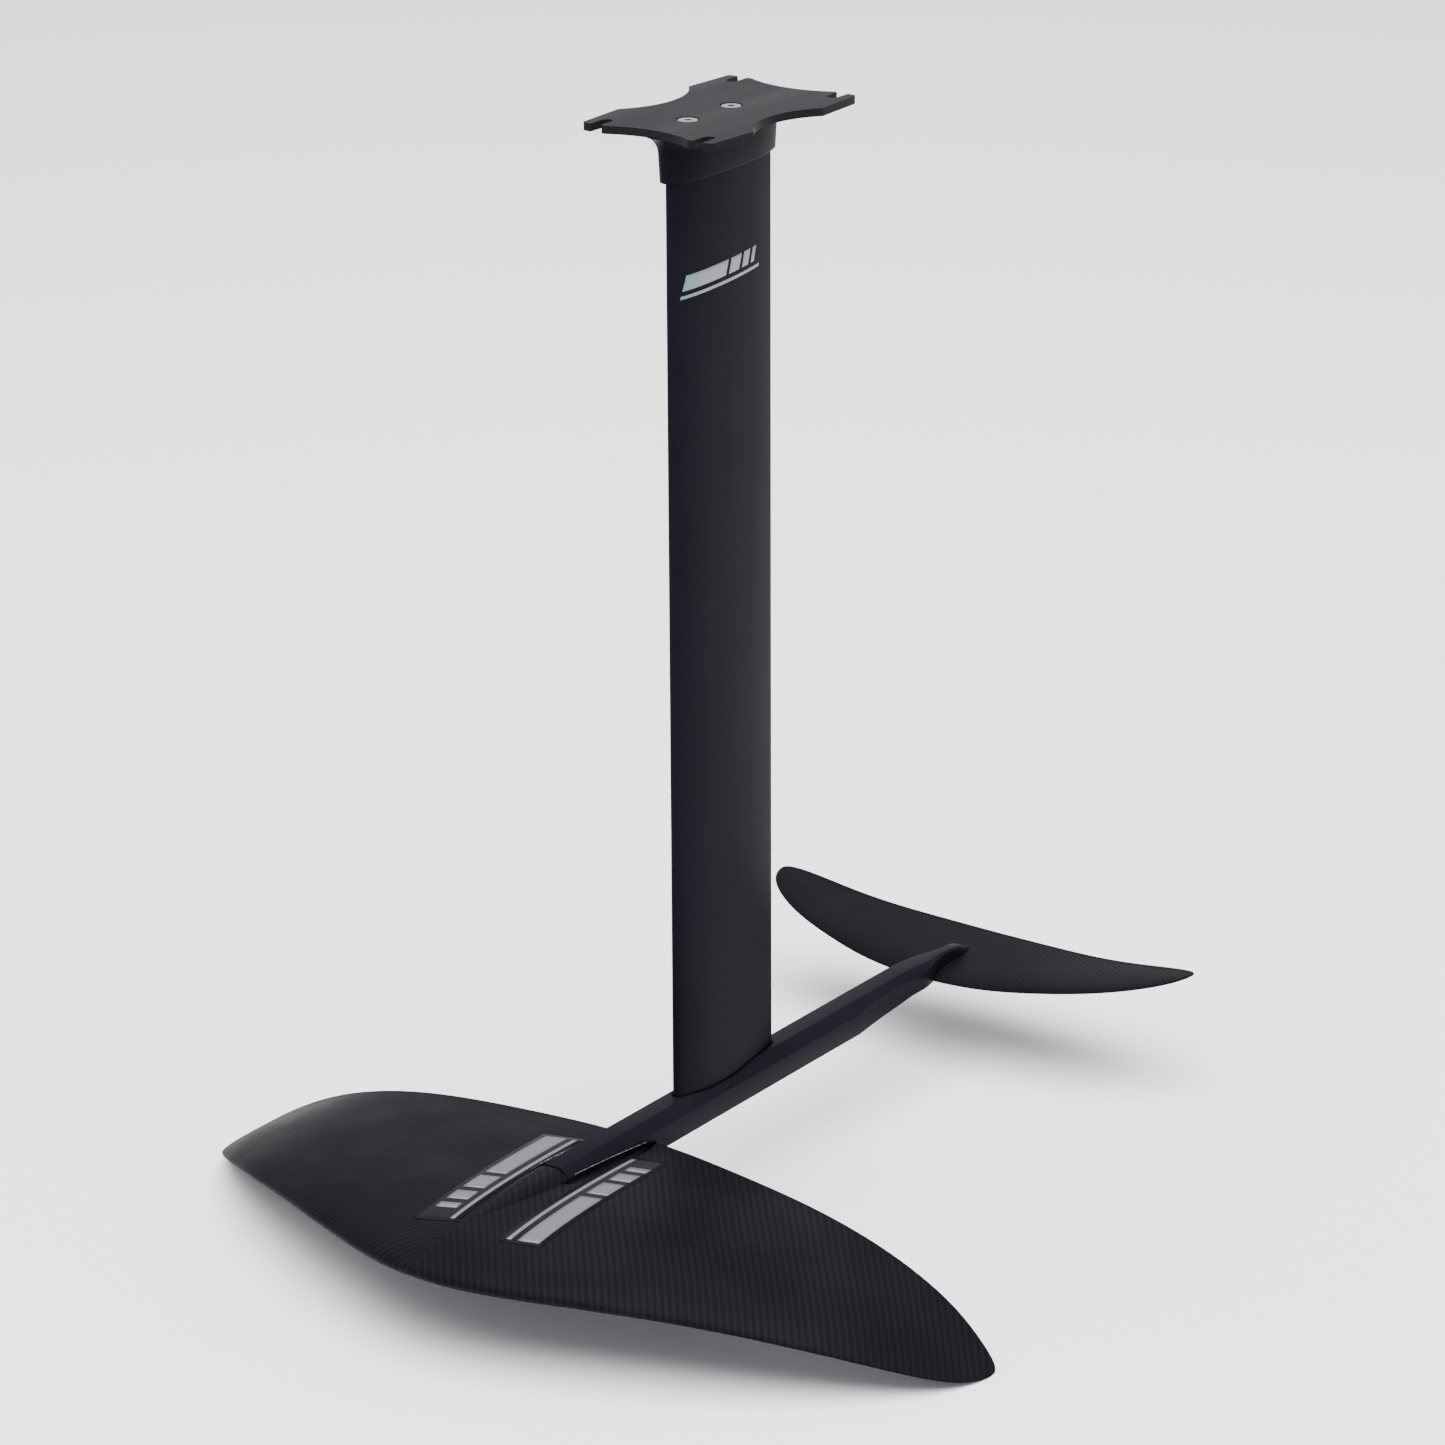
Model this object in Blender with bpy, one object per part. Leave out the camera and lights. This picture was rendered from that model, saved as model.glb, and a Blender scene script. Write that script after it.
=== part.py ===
"""Hydrofoil mast and wing set: top plate, mast, fuselage, front wing and stabilizer.

Everything is in metres.  +X points forward, +Y to port and +Z up.  The origin is the centre of
the four board-bolt slots, on the top face of the top plate, so the whole foil hangs below z = 0.
"""

import math

import bmesh
import bpy
import numpy as np

MM = 0.001
GAP = 0.3 * MM                  # clearance kept between any two pieces

# Top plate
PLATE_THICKNESS = 6 * MM
PLATE_TIP_X = 90 * MM           # ends of the four fingers
PLATE_EDGE_X = 81 * MM          # front and rear edges on the centre line
FINGER_TIP_Y = 57.5 * MM
KINK_X = 43 * MM
KINK_Y = 60 * MM
WAIST_Y = 43.5 * MM
SLOT_Y = 45 * MM
SLOT_END_X = 76.5 * MM          # centre of the round inner end
SLOT_WIDTH = 8.5 * MM

# Mast: an extruded foil section
MAST_NOSE_X = 65 * MM
MAST_TAIL_X = -61 * MM
MAST_THICKNESS = 19 * MM
MAST_WALL = 2.2 * MM
MAST_WEB_XS = (54 * MM, -26 * MM)
WEB_THICKNESS = 3 * MM
SCREW_XS = (40 * MM, -13 * MM)  # screws at the mast's head and foot

# Head collar
COLLAR_BOTTOM_Z = -41.7 * MM
COLLAR_WALL = 5 * MM
COLLAR_DRAFT = 0.06
COLLAR_FLARE_RADIUS = 14.5 * MM

# Fuselage
FUSELAGE_TOP_Z = -756 * MM
FUSELAGE_HALF_WIDTH = 16 * MM
FUSELAGE_FLAT_HALF = 7.8 * MM
FUSELAGE_CHAMFER_DROP = 8.3 * MM
FUSELAGE_DEPTH = 25.5 * MM
FUSELAGE_NOSE_X = 217 * MM
TONGUE_START_X = 111.5 * MM     # in front of this the fuselage thins to lie in the wing
TONGUE_DEPTH = 14.5 * MM
TAIL_START_X = -161 * MM        # the sides draw in a little behind here
TAIL_WAIST_HALF = 13.4 * MM
TAIL_TAPER_X = -256 * MM        # and draw in to the narrow tail behind here
TAIL_END_X = -326 * MM
TAIL_HALF_WIDTH = 5.4 * MM
TAIL_RISE = 4.8 * MM            # how far the underside climbs towards the stabilizer
TAIL_DROP = 7.5 * MM
POCKET_DEPTH = 4.5 * MM
POCKET_MARGIN = 1.3 * MM
SEAL_WALL = 0.7 * MM

# Front wing
WING_HALF_SPAN = 352 * MM
WING_STATIONS = (               # span fraction, leading edge x, trailing edge x
    (0.0, 381 * MM, 112 * MM),
    (0.26, 359 * MM, 122 * MM),
    (0.50, 322 * MM, 131 * MM),
    (0.71, 281 * MM, 135.5 * MM),
    (0.87, 237 * MM, 139 * MM),
    (0.966, 197 * MM, 147 * MM),
)
WING_TIP_X = 160 * MM
WING_ROOT_Z = FUSELAGE_TOP_Z - 20 * MM
WING_DROOP = 71 * MM
WING_DROOP_POWER = 3.6
WING_THICKNESS_RATIO = 0.119
WING_TWIST_DEG = (-1.45, -5.9)  # root and tip, nose down
WING_SKIN = 1.2 * MM
WING_EDGE_HALF = 0.5 * MM
WING_CHORD_POINTS = 12
BLOCK_HALF_WIDTH = 24 * MM
CORE_END = 0.94                 # span fraction where the foam stops
CORE_TAIL_GAP = 14.5 * MM
WING_BOLT_XS = (204 * MM, 177 * MM, 150 * MM)
FAIRING_TIP_X = 308 * MM
FAIRING_HALF_WIDTH = 15.5 * MM

# Stabilizer
STAB_HALF_SPAN = 202 * MM
STAB_STATIONS = (
    (0.0, -275 * MM, -391 * MM),
    (0.26, -278 * MM, -388 * MM),
    (0.50, -290 * MM, -381.5 * MM),
    (0.71, -305 * MM, -378 * MM),
    (0.87, -323.5 * MM, -376 * MM),
    (0.966, -343 * MM, -371.5 * MM),
)
STAB_TIP_X = -362 * MM
STAB_ROOT_Z = FUSELAGE_TOP_Z - 20.5 * MM
STAB_RISE = 21.5 * MM
STAB_RISE_POWER = 1.8
STAB_THICKNESS_RATIO = 0.075
STAB_BOLT_XS = (-295 * MM, -315 * MM)

# Fasteners
M8 = 8 * MM
M6 = 6 * MM
ROUND_SEGMENTS = 24
INSERT_OUTER = 12 * MM
INSERT_LENGTH = 11 * MM

BLACK_METAL = ("black_anodised", (0.020, 0.020, 0.026, 1.0), 0.42, 0.85)
BLACK_CARBON = ("carbon_laminate", (0.012, 0.012, 0.014, 1.0), 0.38, 0.0)
STEEL = ("stainless_steel", (0.62, 0.62, 0.64, 1.0), 0.28, 1.0)
BARE_ALUMINIUM = ("bare_aluminium", (0.70, 0.71, 0.73, 1.0), 0.40, 1.0)
FOAM = ("core_foam", (0.72, 0.66, 0.50, 1.0), 0.90, 0.0)
GLASS_BLOCK = ("glass_laminate_block", (0.30, 0.34, 0.22, 1.0), 0.60, 0.0)
BLACK_RUBBER = ("black_rubber", (0.010, 0.010, 0.011, 1.0), 0.80, 0.0)


# ---------------------------------------------------------------- scene and materials

def clear_scene():
    """Remove every object that the file opened with."""
    for item in list(bpy.data.objects):
        bpy.data.objects.remove(item, do_unlink=True)


def finish_of(spec):
    """Return the Principled material for a (name, colour, roughness, metallic) finish."""
    name, colour, roughness, metallic = spec
    found = bpy.data.materials.get(name)
    if found:
        return found
    made = bpy.data.materials.new(name)
    made.use_nodes = True
    shader = made.node_tree.nodes["Principled BSDF"]
    shader.inputs["Base Color"].default_value = colour
    shader.inputs["Roughness"].default_value = roughness
    shader.inputs["Metallic"].default_value = metallic
    made.diffuse_color = colour
    return made


# ---------------------------------------------------------------- mesh helpers

def add_solid(name, points, faces, finish):
    """Make a closed object from points and faces, with its normals turned outward."""
    mesh = bpy.data.meshes.new(name)
    mesh.from_pydata([tuple(point) for point in points], [], faces)
    work = bmesh.new()
    work.from_mesh(mesh)
    bmesh.ops.recalc_face_normals(work, faces=work.faces)
    work.to_mesh(mesh)
    work.free()
    solid = bpy.data.objects.new(name, mesh)
    bpy.context.collection.objects.link(solid)
    if finish:
        mesh.materials.append(finish_of(finish))
    else:
        solid.hide_render = True
        solid.display_type = "WIRE"
    return solid


def smooth(solid, angle_deg=30):
    """Shade round faces smooth and keep corners sharper than the angle crisp."""
    solid.data.shade_smooth()
    solid.data.set_sharp_from_angle(angle=math.radians(angle_deg))


def loft(name, rings, finish, strip_caps=False):
    """Skin equal rings of points; the ends are one face each, or strips across the ring."""
    count = len(rings[0])
    points = [point for ring in rings for point in ring]
    faces = []
    for row in range(len(rings) - 1):
        for col in range(count):
            after = (col + 1) % count
            faces.append((row * count + col, row * count + after,
                          (row + 1) * count + after, (row + 1) * count + col))
    for start in (0, (len(rings) - 1) * count):
        if strip_caps:
            for col in range(count // 2 - 1):
                faces.append((start + col, start + col + 1,
                              start + count - 2 - col, start + count - 1 - col))
        else:
            faces.append(tuple(range(start, start + count)))
    return add_solid(name, points, faces, finish)


def prism(name, outline, low, high, finish):
    """Extrude a flat outline between two heights."""
    rings = [[(x, y, z) for x, y in outline] for z in (low, high)]
    return loft(name, rings, finish)


def tube(name, outer, inner, low, high, finish):
    """Extrude the ring between two outlines that have the same number of points."""
    rings = [[(x, y, low) for x, y in outer], [(x, y, high) for x, y in outer],
             [(x, y, high) for x, y in inner], [(x, y, low) for x, y in inner]]
    return torus_loft(name, rings, finish)


def torus_loft(name, rings, finish):
    """Skin rings that close on themselves, the last joined to the first."""
    count = len(rings[0])
    points = [point for ring in rings for point in ring]
    faces = []
    for row in range(len(rings)):
        below = (row + 1) % len(rings)
        for col in range(count):
            after = (col + 1) % count
            faces.append((row * count + col, row * count + after,
                          below * count + after, below * count + col))
    return add_solid(name, points, faces, finish)


def turned(name, x, y, profile, finish, segments=ROUND_SEGMENTS):
    """Turn (radius, height) points, from top to bottom, about a vertical axis at (x, y)."""
    rings = []
    for radius, height in profile:
        turn = [2 * math.pi * step / segments for step in range(segments)]
        rings.append([(x + radius * math.cos(a), y + radius * math.sin(a), height) for a in turn])
    return loft(name, rings, finish)


def circle(radius, segments=ROUND_SEGMENTS):
    """Return the points of a circle about the origin."""
    turn = [2 * math.pi * step / segments for step in range(segments)]
    return [(radius * math.cos(a), radius * math.sin(a)) for a in turn]


def box(name, low, high, finish=None):
    """Make a box between two corners."""
    outline = [(low[0], low[1]), (high[0], low[1]), (high[0], high[1]), (low[0], high[1])]
    return prism(name, outline, low[2], high[2], finish)


def combine(solid, tool, operation="DIFFERENCE"):
    """Cut, join or trim a solid by a hidden tool with a live Boolean."""
    change = solid.modifiers.new(f"{operation.lower()} {tool.name}", "BOOLEAN")
    change.operation = operation
    change.solver = "EXACT"
    change.object = tool


# ---------------------------------------------------------------- outlines

def arc(centre, radius, start_deg, end_deg, steps):
    """Return points along an arc, both ends included."""
    points = []
    for step in range(steps + 1):
        angle = math.radians(start_deg + (end_deg - start_deg) * step / steps)
        points.append((centre[0] + radius * math.cos(angle), centre[1] + radius * math.sin(angle)))
    return points


def foil_outline(nose_x, tail_x, half, tail_half, steps=14, tail_power=1.9, tail_bend=1.0):
    """Return a symmetric strut outline: a full nose, then a long taper to a narrow tail."""
    widest_x = nose_x - 0.41 * (nose_x - tail_x)
    upper = []
    for step in range(steps + 1):
        turn = math.pi * step / steps
        reach = math.cos(turn)
        if reach >= 0:
            x = widest_x + (nose_x - widest_x) * reach
            y = half * (1 - reach ** 2.5) ** 0.4545
        else:
            x = widest_x + (widest_x - tail_x) * reach
            y = tail_half + (half - tail_half) * (1 - abs(reach) ** tail_power) ** tail_bend
        upper.append((x, y))
    upper[0] = (nose_x, 0.0)
    lower = [(x, -y) for x, y in reversed(upper[1:])]
    return upper + lower


def mast_outline(margin=0.0):
    """Return the mast's section, grown by a margin all round."""
    return foil_outline(MAST_NOSE_X + margin, MAST_TAIL_X - margin,
                        MAST_THICKNESS / 2 + margin, 1 * MM + margin)


def mast_half_thickness(x):
    """Return half the mast's thickness at a station along its chord."""
    widest_x = MAST_NOSE_X - 0.41 * (MAST_NOSE_X - MAST_TAIL_X)
    half = MAST_THICKNESS / 2
    if x >= widest_x:
        reach = min(1.0, (x - widest_x) / (MAST_NOSE_X - widest_x))
        return half * (1 - reach ** 2.5) ** 0.4545
    reach = min(1.0, (widest_x - x) / (widest_x - MAST_TAIL_X))
    return 1 * MM + (half - 1 * MM) * (1 - reach ** 1.9)


def cell_outline(front_x, rear_x, inset, steps=8):
    """Return the outline of a hollow in the mast, between two stations of its chord."""
    stations = [front_x + (rear_x - front_x) * step / steps for step in range(steps + 1)]
    upper = [(x, mast_half_thickness(x) - inset) for x in stations]
    return upper + [(x, -y) for x, y in reversed(upper)]


def plate_quarter():
    """Return the plate's outline from the middle of its port side to the middle of its front."""
    side_radius = (KINK_X ** 2 + (KINK_Y - WAIST_Y) ** 2) / (2 * (KINK_Y - WAIST_Y))
    side_sweep = math.degrees(math.asin(KINK_X / side_radius))
    side = arc((0, WAIST_Y + side_radius), side_radius, -90, -90 + side_sweep, 6)
    tip_radius = 3.5 * MM
    tip = arc((PLATE_TIP_X - tip_radius, FINGER_TIP_Y - tip_radius), tip_radius, 80, 0, 3)
    slot_half = SLOT_WIDTH / 2
    slot = [(PLATE_TIP_X, SLOT_Y + slot_half)]
    slot += arc((SLOT_END_X, SLOT_Y), slot_half, 90, 270, 8)
    inner_radius = 2 * MM
    prong = arc((PLATE_TIP_X - inner_radius, SLOT_Y - slot_half - inner_radius), inner_radius,
                90, 0, 2)
    half_chord = SLOT_Y - slot_half - 2 * inner_radius
    depth = PLATE_TIP_X - PLATE_EDGE_X
    front_radius = (half_chord ** 2 + depth ** 2) / (2 * depth)
    front_sweep = math.degrees(math.asin(half_chord / front_radius))
    front = arc((PLATE_EDGE_X + front_radius, 0), front_radius, 180 - front_sweep, 180, 6)
    return side + tip + slot + prong + front


def plate_outline():
    """Return the whole plate outline, four mirrored quarters without repeated points."""
    quarter = plate_quarter()
    front_port = quarter
    front_starboard = [(x, -y) for x, y in reversed(quarter[:-1])]
    rear_starboard = [(-x, -y) for x, y in quarter[1:]]
    rear_port = [(-x, y) for x, y in reversed(quarter[1:-1])]
    return front_port + front_starboard + rear_starboard + rear_port


# ---------------------------------------------------------------- foil surfaces

def spline(knots, values):
    """Return a cubic spline through the values that is level at both ends."""
    knots = np.array(knots, float)
    values = np.array(values, float)
    count = len(knots)
    steps = np.diff(knots)
    slopes = np.diff(values) / steps
    matrix = np.zeros((count, count))
    right = np.zeros(count)
    matrix[0, 0] = matrix[-1, -1] = 1.0
    for i in range(1, count - 1):
        matrix[i, i - 1] = steps[i]
        matrix[i, i] = 2 * (steps[i - 1] + steps[i])
        matrix[i, i + 1] = steps[i - 1]
        right[i] = 3 * (steps[i] * slopes[i - 1] + steps[i - 1] * slopes[i])
    tangents = np.linalg.solve(matrix, right)

    def value_at(knot):
        i = int(np.clip(np.searchsorted(knots, knot) - 1, 0, count - 2))
        t = (knot - knots[i]) / steps[i]
        return ((1 + 2 * t) * (1 - t) ** 2 * values[i] + t * (1 - t) ** 2 * steps[i] * tangents[i]
                + t * t * (3 - 2 * t) * values[i + 1] + t * t * (t - 1) * steps[i] * tangents[i + 1])

    return value_at


class Foil:
    """A lifting surface, described by its plan, its bend along the span and its section."""

    def __init__(self, half_span, stations, tip_x, bend, thickness_ratio, twist_deg, edge_half):
        self.half_span = half_span
        self.bend = bend
        self.thickness_ratio = thickness_ratio
        self.twist_deg = twist_deg
        self.edge_half = edge_half
        knots = [math.asin(part) for part, _, _ in stations]
        around = knots + [math.pi / 2] + [math.pi - knot for knot in reversed(knots)]
        edge = [front for _, front, _ in stations] + [tip_x]
        edge += [rear for _, _, rear in reversed(stations)]
        self.edge_x = spline(around, edge)

    def station(self, part):
        """Return leading edge x, chord, height, tilt of the span line and twist at a station."""
        sweep = math.asin(min(1.0, abs(part)))
        front = self.edge_x(sweep)
        chord = front - self.edge_x(math.pi - sweep)
        step = 1e-4
        rise = (self.bend(abs(part) + step) - self.bend(abs(part))) / (step * self.half_span)
        tilt = math.copysign(math.atan(rise), part)
        root, tip = self.twist_deg
        twist = math.radians(root + (tip - root) * abs(part))
        return front, chord, self.bend(abs(part)), tilt, twist

    def half_thickness(self, chord, u):
        """Return half the section's thickness at a fraction u of the chord."""
        shape = 0.2969 * math.sqrt(u) - 0.1260 * u - 0.3516 * u ** 2 + 0.2843 * u ** 3
        shape -= 0.1036 * u ** 4
        return max(5 * self.thickness_ratio * chord * shape, self.edge_half)

    def point(self, part, u, height):
        """Return the point at a height above the section's mean line."""
        front, chord, z, tilt, twist = self.station(part)
        rise = height - (u - 0.5) * chord * math.tan(twist)
        y = part * self.half_span - rise * math.sin(tilt)
        return (front - u * chord, y, z + rise * math.cos(tilt))

    def layer(self, part, us, side, inset):
        """Return one skin line across the chord, this far inside the outer surface."""
        chord = self.station(part)[1]
        line = []
        for u in us:
            height = max(self.half_thickness(chord, u) - inset, GAP / 2)
            line.append(self.point(part, u, side * height))
        return line

    def surface_z(self, x, y, side=1):
        """Return the height of the surface over a point close to the root."""
        front, chord, z, _, twist = self.station(y / self.half_span)
        u = min(1.0, max(0.0, (front - x) / chord))
        return z + side * self.half_thickness(chord, u) - (u - 0.5) * chord * math.tan(twist)


def chord_fractions(count):
    """Return fractions of the chord, closer together at the nose and tail."""
    return [(1 - math.cos(math.pi * step / (count - 1))) / 2 for step in range(count)]


def span_fractions(first_deg, last_deg, count):
    """Return span fractions evenly spaced in angle, so they crowd towards the tip."""
    turns = [first_deg + (last_deg - first_deg) * step / (count - 1) for step in range(count)]
    return [math.sin(math.radians(turn)) for turn in turns]


def wing_span():
    """Return the front wing's span stations, from its starboard tip to its port tip."""
    return span_fractions(-87.5, 87.5, 27)


def wing_foil():
    """Return the front wing's surface."""
    return Foil(WING_HALF_SPAN, WING_STATIONS, WING_TIP_X,
                lambda part: WING_ROOT_Z - WING_DROOP * part ** WING_DROOP_POWER,
                WING_THICKNESS_RATIO, WING_TWIST_DEG, WING_EDGE_HALF)


def stab_foil():
    """Return the stabilizer's surface."""
    return Foil(STAB_HALF_SPAN, STAB_STATIONS, STAB_TIP_X,
                lambda part: STAB_ROOT_Z + STAB_RISE * part ** STAB_RISE_POWER,
                STAB_THICKNESS_RATIO, (0.0, 0.0), 0.5 * MM)


# ---------------------------------------------------------------- fasteners

def csk_profile(radius, head_z, tip_z, grow=0.0):
    """Return a countersunk screw profile, pointing down from its head."""
    head_radius = 2.03 * radius + grow
    cone = head_radius - radius
    return [(head_radius, head_z), (radius + grow, head_z - cone + grow), (radius + grow, tip_z)]


def socket_cutter(name, x, y, across, low, high):
    """Return a hidden hexagonal tool for a screw's drive."""
    corner = across / math.sqrt(3)
    outline = [(x + px, y + py) for px, py in circle(corner, 6)]
    return prism(name, outline, low, high, None)


def screw_down(name, x, size, head_z, tip_z):
    """Make a countersunk screw whose head is on top."""
    screw = turned(name, x, 0, csk_profile(size / 2, head_z, tip_z), STEEL)
    drive = socket_cutter(f"{name}_drive", x, 0, 0.62 * size, head_z - 0.34 * size, head_z + MM)
    combine(screw, drive)
    smooth(screw)
    return screw


def screw_up(name, x, size, head_z, tip_z):
    """Make a countersunk screw whose head is underneath."""
    profile = [(r, 2 * head_z - z) for r, z in csk_profile(size / 2, head_z, 2 * head_z - tip_z)]
    screw = turned(name, x, 0, profile, STEEL)
    drive = socket_cutter(f"{name}_drive", x, 0, 0.62 * size, head_z - MM, head_z + 0.34 * size)
    combine(screw, drive)
    smooth(screw)
    return screw


def hole_down(name, x, size, head_z, through_z):
    """Return a hidden tool that makes room for a screw with its head on top."""
    profile = csk_profile(size / 2, head_z, through_z, GAP)
    profile = [(profile[0][0], head_z + MM), profile[0]] + profile[1:]
    return turned(name, x, 0, profile, None)


def hole_up(name, x, size, head_z, through_z, mouth_z=None):
    """Return a hidden tool that makes room for a screw with its head underneath."""
    low = head_z - MM if mouth_z is None else mouth_z
    flipped = csk_profile(size / 2, head_z, 2 * head_z - through_z, GAP)
    profile = [(r, 2 * head_z - z) for r, z in flipped]
    profile = [(profile[0][0], low), profile[0]] + profile[1:]
    return turned(name, x, 0, profile, None)


# ---------------------------------------------------------------- head of the mast

def make_top_plate():
    """Make the slotted board plate with its two countersunk screw holes."""
    plate = prism("top_plate", plate_outline(), -PLATE_THICKNESS, 0, BLACK_METAL)
    for index, x in enumerate(SCREW_XS):
        combine(plate, hole_down(f"plate_hole_{index}", x, M8, -GAP, -PLATE_THICKNESS - MM))
    smooth(plate, 20)


def make_plate_screws():
    """Make the two screws that hold the plate to the mast."""
    for end, x in zip(("front", "rear"), SCREW_XS):
        screw_down(f"plate_screw_{end}", x, M8, -GAP, -40 * MM)


def collar_growth(z):
    """Return how far the collar stands out from the mast at a height."""
    growth = COLLAR_WALL + COLLAR_DRAFT * (z - COLLAR_BOTTOM_Z)
    top = -PLATE_THICKNESS - GAP
    above = z - (top - 0.95 * COLLAR_FLARE_RADIUS)
    if above > 0:
        growth += COLLAR_FLARE_RADIUS - math.sqrt(COLLAR_FLARE_RADIUS ** 2 - above ** 2)
    return growth


def collar_ring(z):
    """Return the collar's outer outline at a height."""
    growth = collar_growth(z)
    outline = foil_outline(MAST_NOSE_X + growth, MAST_TAIL_X - growth,
                           MAST_THICKNESS / 2 + 0.9 * growth, 0.35 * growth,
                           tail_power=2.3, tail_bend=0.85)
    return [(x, y, z) for x, y in outline]


def make_collar():
    """Make the flared sleeve around the mast's head."""
    top = -PLATE_THICKNESS - GAP
    flare_start = top - 0.95 * COLLAR_FLARE_RADIUS
    heights = [COLLAR_BOTTOM_Z, flare_start]
    heights += [flare_start + (top - flare_start) * step for step in (0.3, 0.55, 0.75, 0.9, 1.0)]
    rings = [collar_ring(z) for z in heights]
    bore = mast_outline(GAP)
    rings += [[(x, y, top) for x, y in bore], [(x, y, COLLAR_BOTTOM_Z) for x, y in bore]]
    smooth(torus_loft("mast_collar", rings, BLACK_METAL), 40)


def make_mast():
    """Make the extruded mast with its three hollow cells."""
    low = FUSELAGE_TOP_Z - POCKET_DEPTH + GAP
    high = -PLATE_THICKNESS - GAP
    mast = prism("mast", mast_outline(), low, high, BLACK_METAL)
    web = WEB_THICKNESS / 2
    cells = ((MAST_NOSE_X - 4 * MM, MAST_WEB_XS[0] + web),
             (MAST_WEB_XS[0] - web, MAST_WEB_XS[1] + web),
             (MAST_WEB_XS[1] - web, MAST_TAIL_X + 19 * MM))
    for index, (front, rear) in enumerate(cells):
        steps = (2, 7, 3)[index]
        outline = cell_outline(front, rear, MAST_WALL, steps)
        combine(mast, prism(f"mast_cell_{index}", outline, low - MM, high + MM, None))
    smooth(mast)


def make_end_block(name, low, high):
    """Make a tapped block that fills the mast's middle cell at one end."""
    web = WEB_THICKNESS / 2
    front = MAST_WEB_XS[0] - web - GAP
    rear = MAST_WEB_XS[1] + web + GAP
    block = prism(name, cell_outline(front, rear, MAST_WALL + GAP, 7), low, high, BARE_ALUMINIUM)
    for index, x in enumerate(SCREW_XS):
        bore = [(M8 / 2 + GAP, high + MM), (M8 / 2 + GAP, low - MM)]
        combine(block, turned(f"{name}_hole_{index}", x, 0, bore, None))


def make_mast_ends():
    """Make the head and foot blocks inside the mast."""
    head = -PLATE_THICKNESS - 2 * GAP
    foot = FUSELAGE_TOP_Z - POCKET_DEPTH + 2 * GAP
    make_end_block("mast_head_block", head - 45 * MM, head)
    make_end_block("mast_foot_block", foot, foot + 45 * MM)


# ---------------------------------------------------------------- fuselage

def clamped(part):
    """Return a number held between 0 and 1."""
    return min(1.0, max(0.0, part))


def fuselage_half(x):
    """Return half the fuselage's width at a station."""
    waist = clamped((TAIL_START_X - x) / (44 * MM))
    taper = clamped((TAIL_TAPER_X - x) / (46 * MM))
    half = FUSELAGE_HALF_WIDTH - (FUSELAGE_HALF_WIDTH - TAIL_WAIST_HALF) * waist * (2 - waist)
    return half - (TAIL_WAIST_HALF - TAIL_HALF_WIDTH) * taper ** 2 * (3 - 2 * taper)


def fuselage_bottom(x):
    """Return the height of the fuselage's underside at a station."""
    climb = clamped((TAIL_START_X - 4 * MM - x) / (73 * MM))
    return FUSELAGE_TOP_Z - FUSELAGE_DEPTH + TAIL_RISE * climb ** 1.3


def fuselage_section(x, grow=0.0):
    """Return the six corners of the fuselage section at a station."""
    half = fuselage_half(x)
    flat = min(FUSELAGE_FLAT_HALF, 0.72 * half)
    slope = FUSELAGE_CHAMFER_DROP / (FUSELAGE_HALF_WIDTH - FUSELAGE_FLAT_HALF)
    run = max(0.0, (-235 * MM - x) / (-235 * MM - TAIL_END_X))
    top = FUSELAGE_TOP_Z - TAIL_DROP * run ** 1.3
    bottom = fuselage_bottom(x)
    edge = top - (half - flat) * slope
    rise = grow * 0.42
    return [(x, flat + rise, top + grow), (x, half + grow, edge + rise), (x, half + grow, bottom),
            (x, -half - grow, bottom), (x, -half - grow, edge + rise), (x, -flat - rise, top + grow)]


def tongue_relief(foil):
    """Return a hidden tool that thins the fuselage where it lies in the wing."""
    under = FUSELAGE_TOP_Z - TONGUE_DEPTH
    low = FUSELAGE_TOP_Z - FUSELAGE_DEPTH - MM
    front = FUSELAGE_NOSE_X + 5 * MM
    rear_top = foil.surface_z(TONGUE_START_X, 0) + 2 * GAP
    profile = [(TONGUE_START_X, low), (TONGUE_START_X, rear_top), (TONGUE_START_X + 11 * MM, under),
               (front, under), (front, low)]
    rings = [[(x, y, z) for x, z in profile] for y in (-20 * MM, 20 * MM)]
    return loft("tongue_relief", rings, None)


def make_fuselage():
    """Make the fuselage bar with its mast pocket, wing tongue, tail seat and bolt holes."""
    stations = [FUSELAGE_NOSE_X, 0.0, TAIL_START_X]
    stations += [TAIL_START_X - step * MM for step in (5, 11, 19, 29, 44, 56, 69, 82, 95, 102, 109,
                                                       116, 123, 130, 141, 152)]
    stations += [TAIL_END_X + 4 * MM]
    rings = [fuselage_section(x) for x in stations]
    end = fuselage_section(TAIL_END_X)
    rings.append([(x, 0.6 * y, z - 0.6 * MM if z > FUSELAGE_TOP_Z - 15 * MM else z)
                  for x, y, z in end])
    fuselage = loft("fuselage", rings, BLACK_METAL)
    floor = FUSELAGE_TOP_Z - POCKET_DEPTH
    combine(fuselage, prism("mast_pocket", mast_outline(POCKET_MARGIN), floor, floor + 20 * MM, None))
    under = FUSELAGE_TOP_Z - TONGUE_DEPTH
    combine(fuselage, tongue_relief(wing_foil()))
    combine(fuselage, stab_seat_cutter())
    bottom = FUSELAGE_TOP_Z - FUSELAGE_DEPTH
    for index, x in enumerate(SCREW_XS):
        combine(fuselage, hole_up(f"mast_bolt_hole_{index}", x, M8, bottom + GAP, floor + MM))
    for index, x in enumerate(WING_BOLT_XS):
        bore = [(INSERT_OUTER / 2 + GAP, under + INSERT_LENGTH + 2 * GAP),
                (INSERT_OUTER / 2 + GAP, under - MM)]
        combine(fuselage, turned(f"insert_seat_{index}", x, 0, bore, None))
    for index, x in enumerate(STAB_BOLT_XS):
        top = FUSELAGE_TOP_Z - TAIL_DROP - 2.5 * MM
        bore = [(M6 / 2 + GAP, top), (M6 / 2 + GAP, top - 20 * MM)]
        combine(fuselage, turned(f"stab_thread_{index}", x, 0, bore, None, 16))


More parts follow.
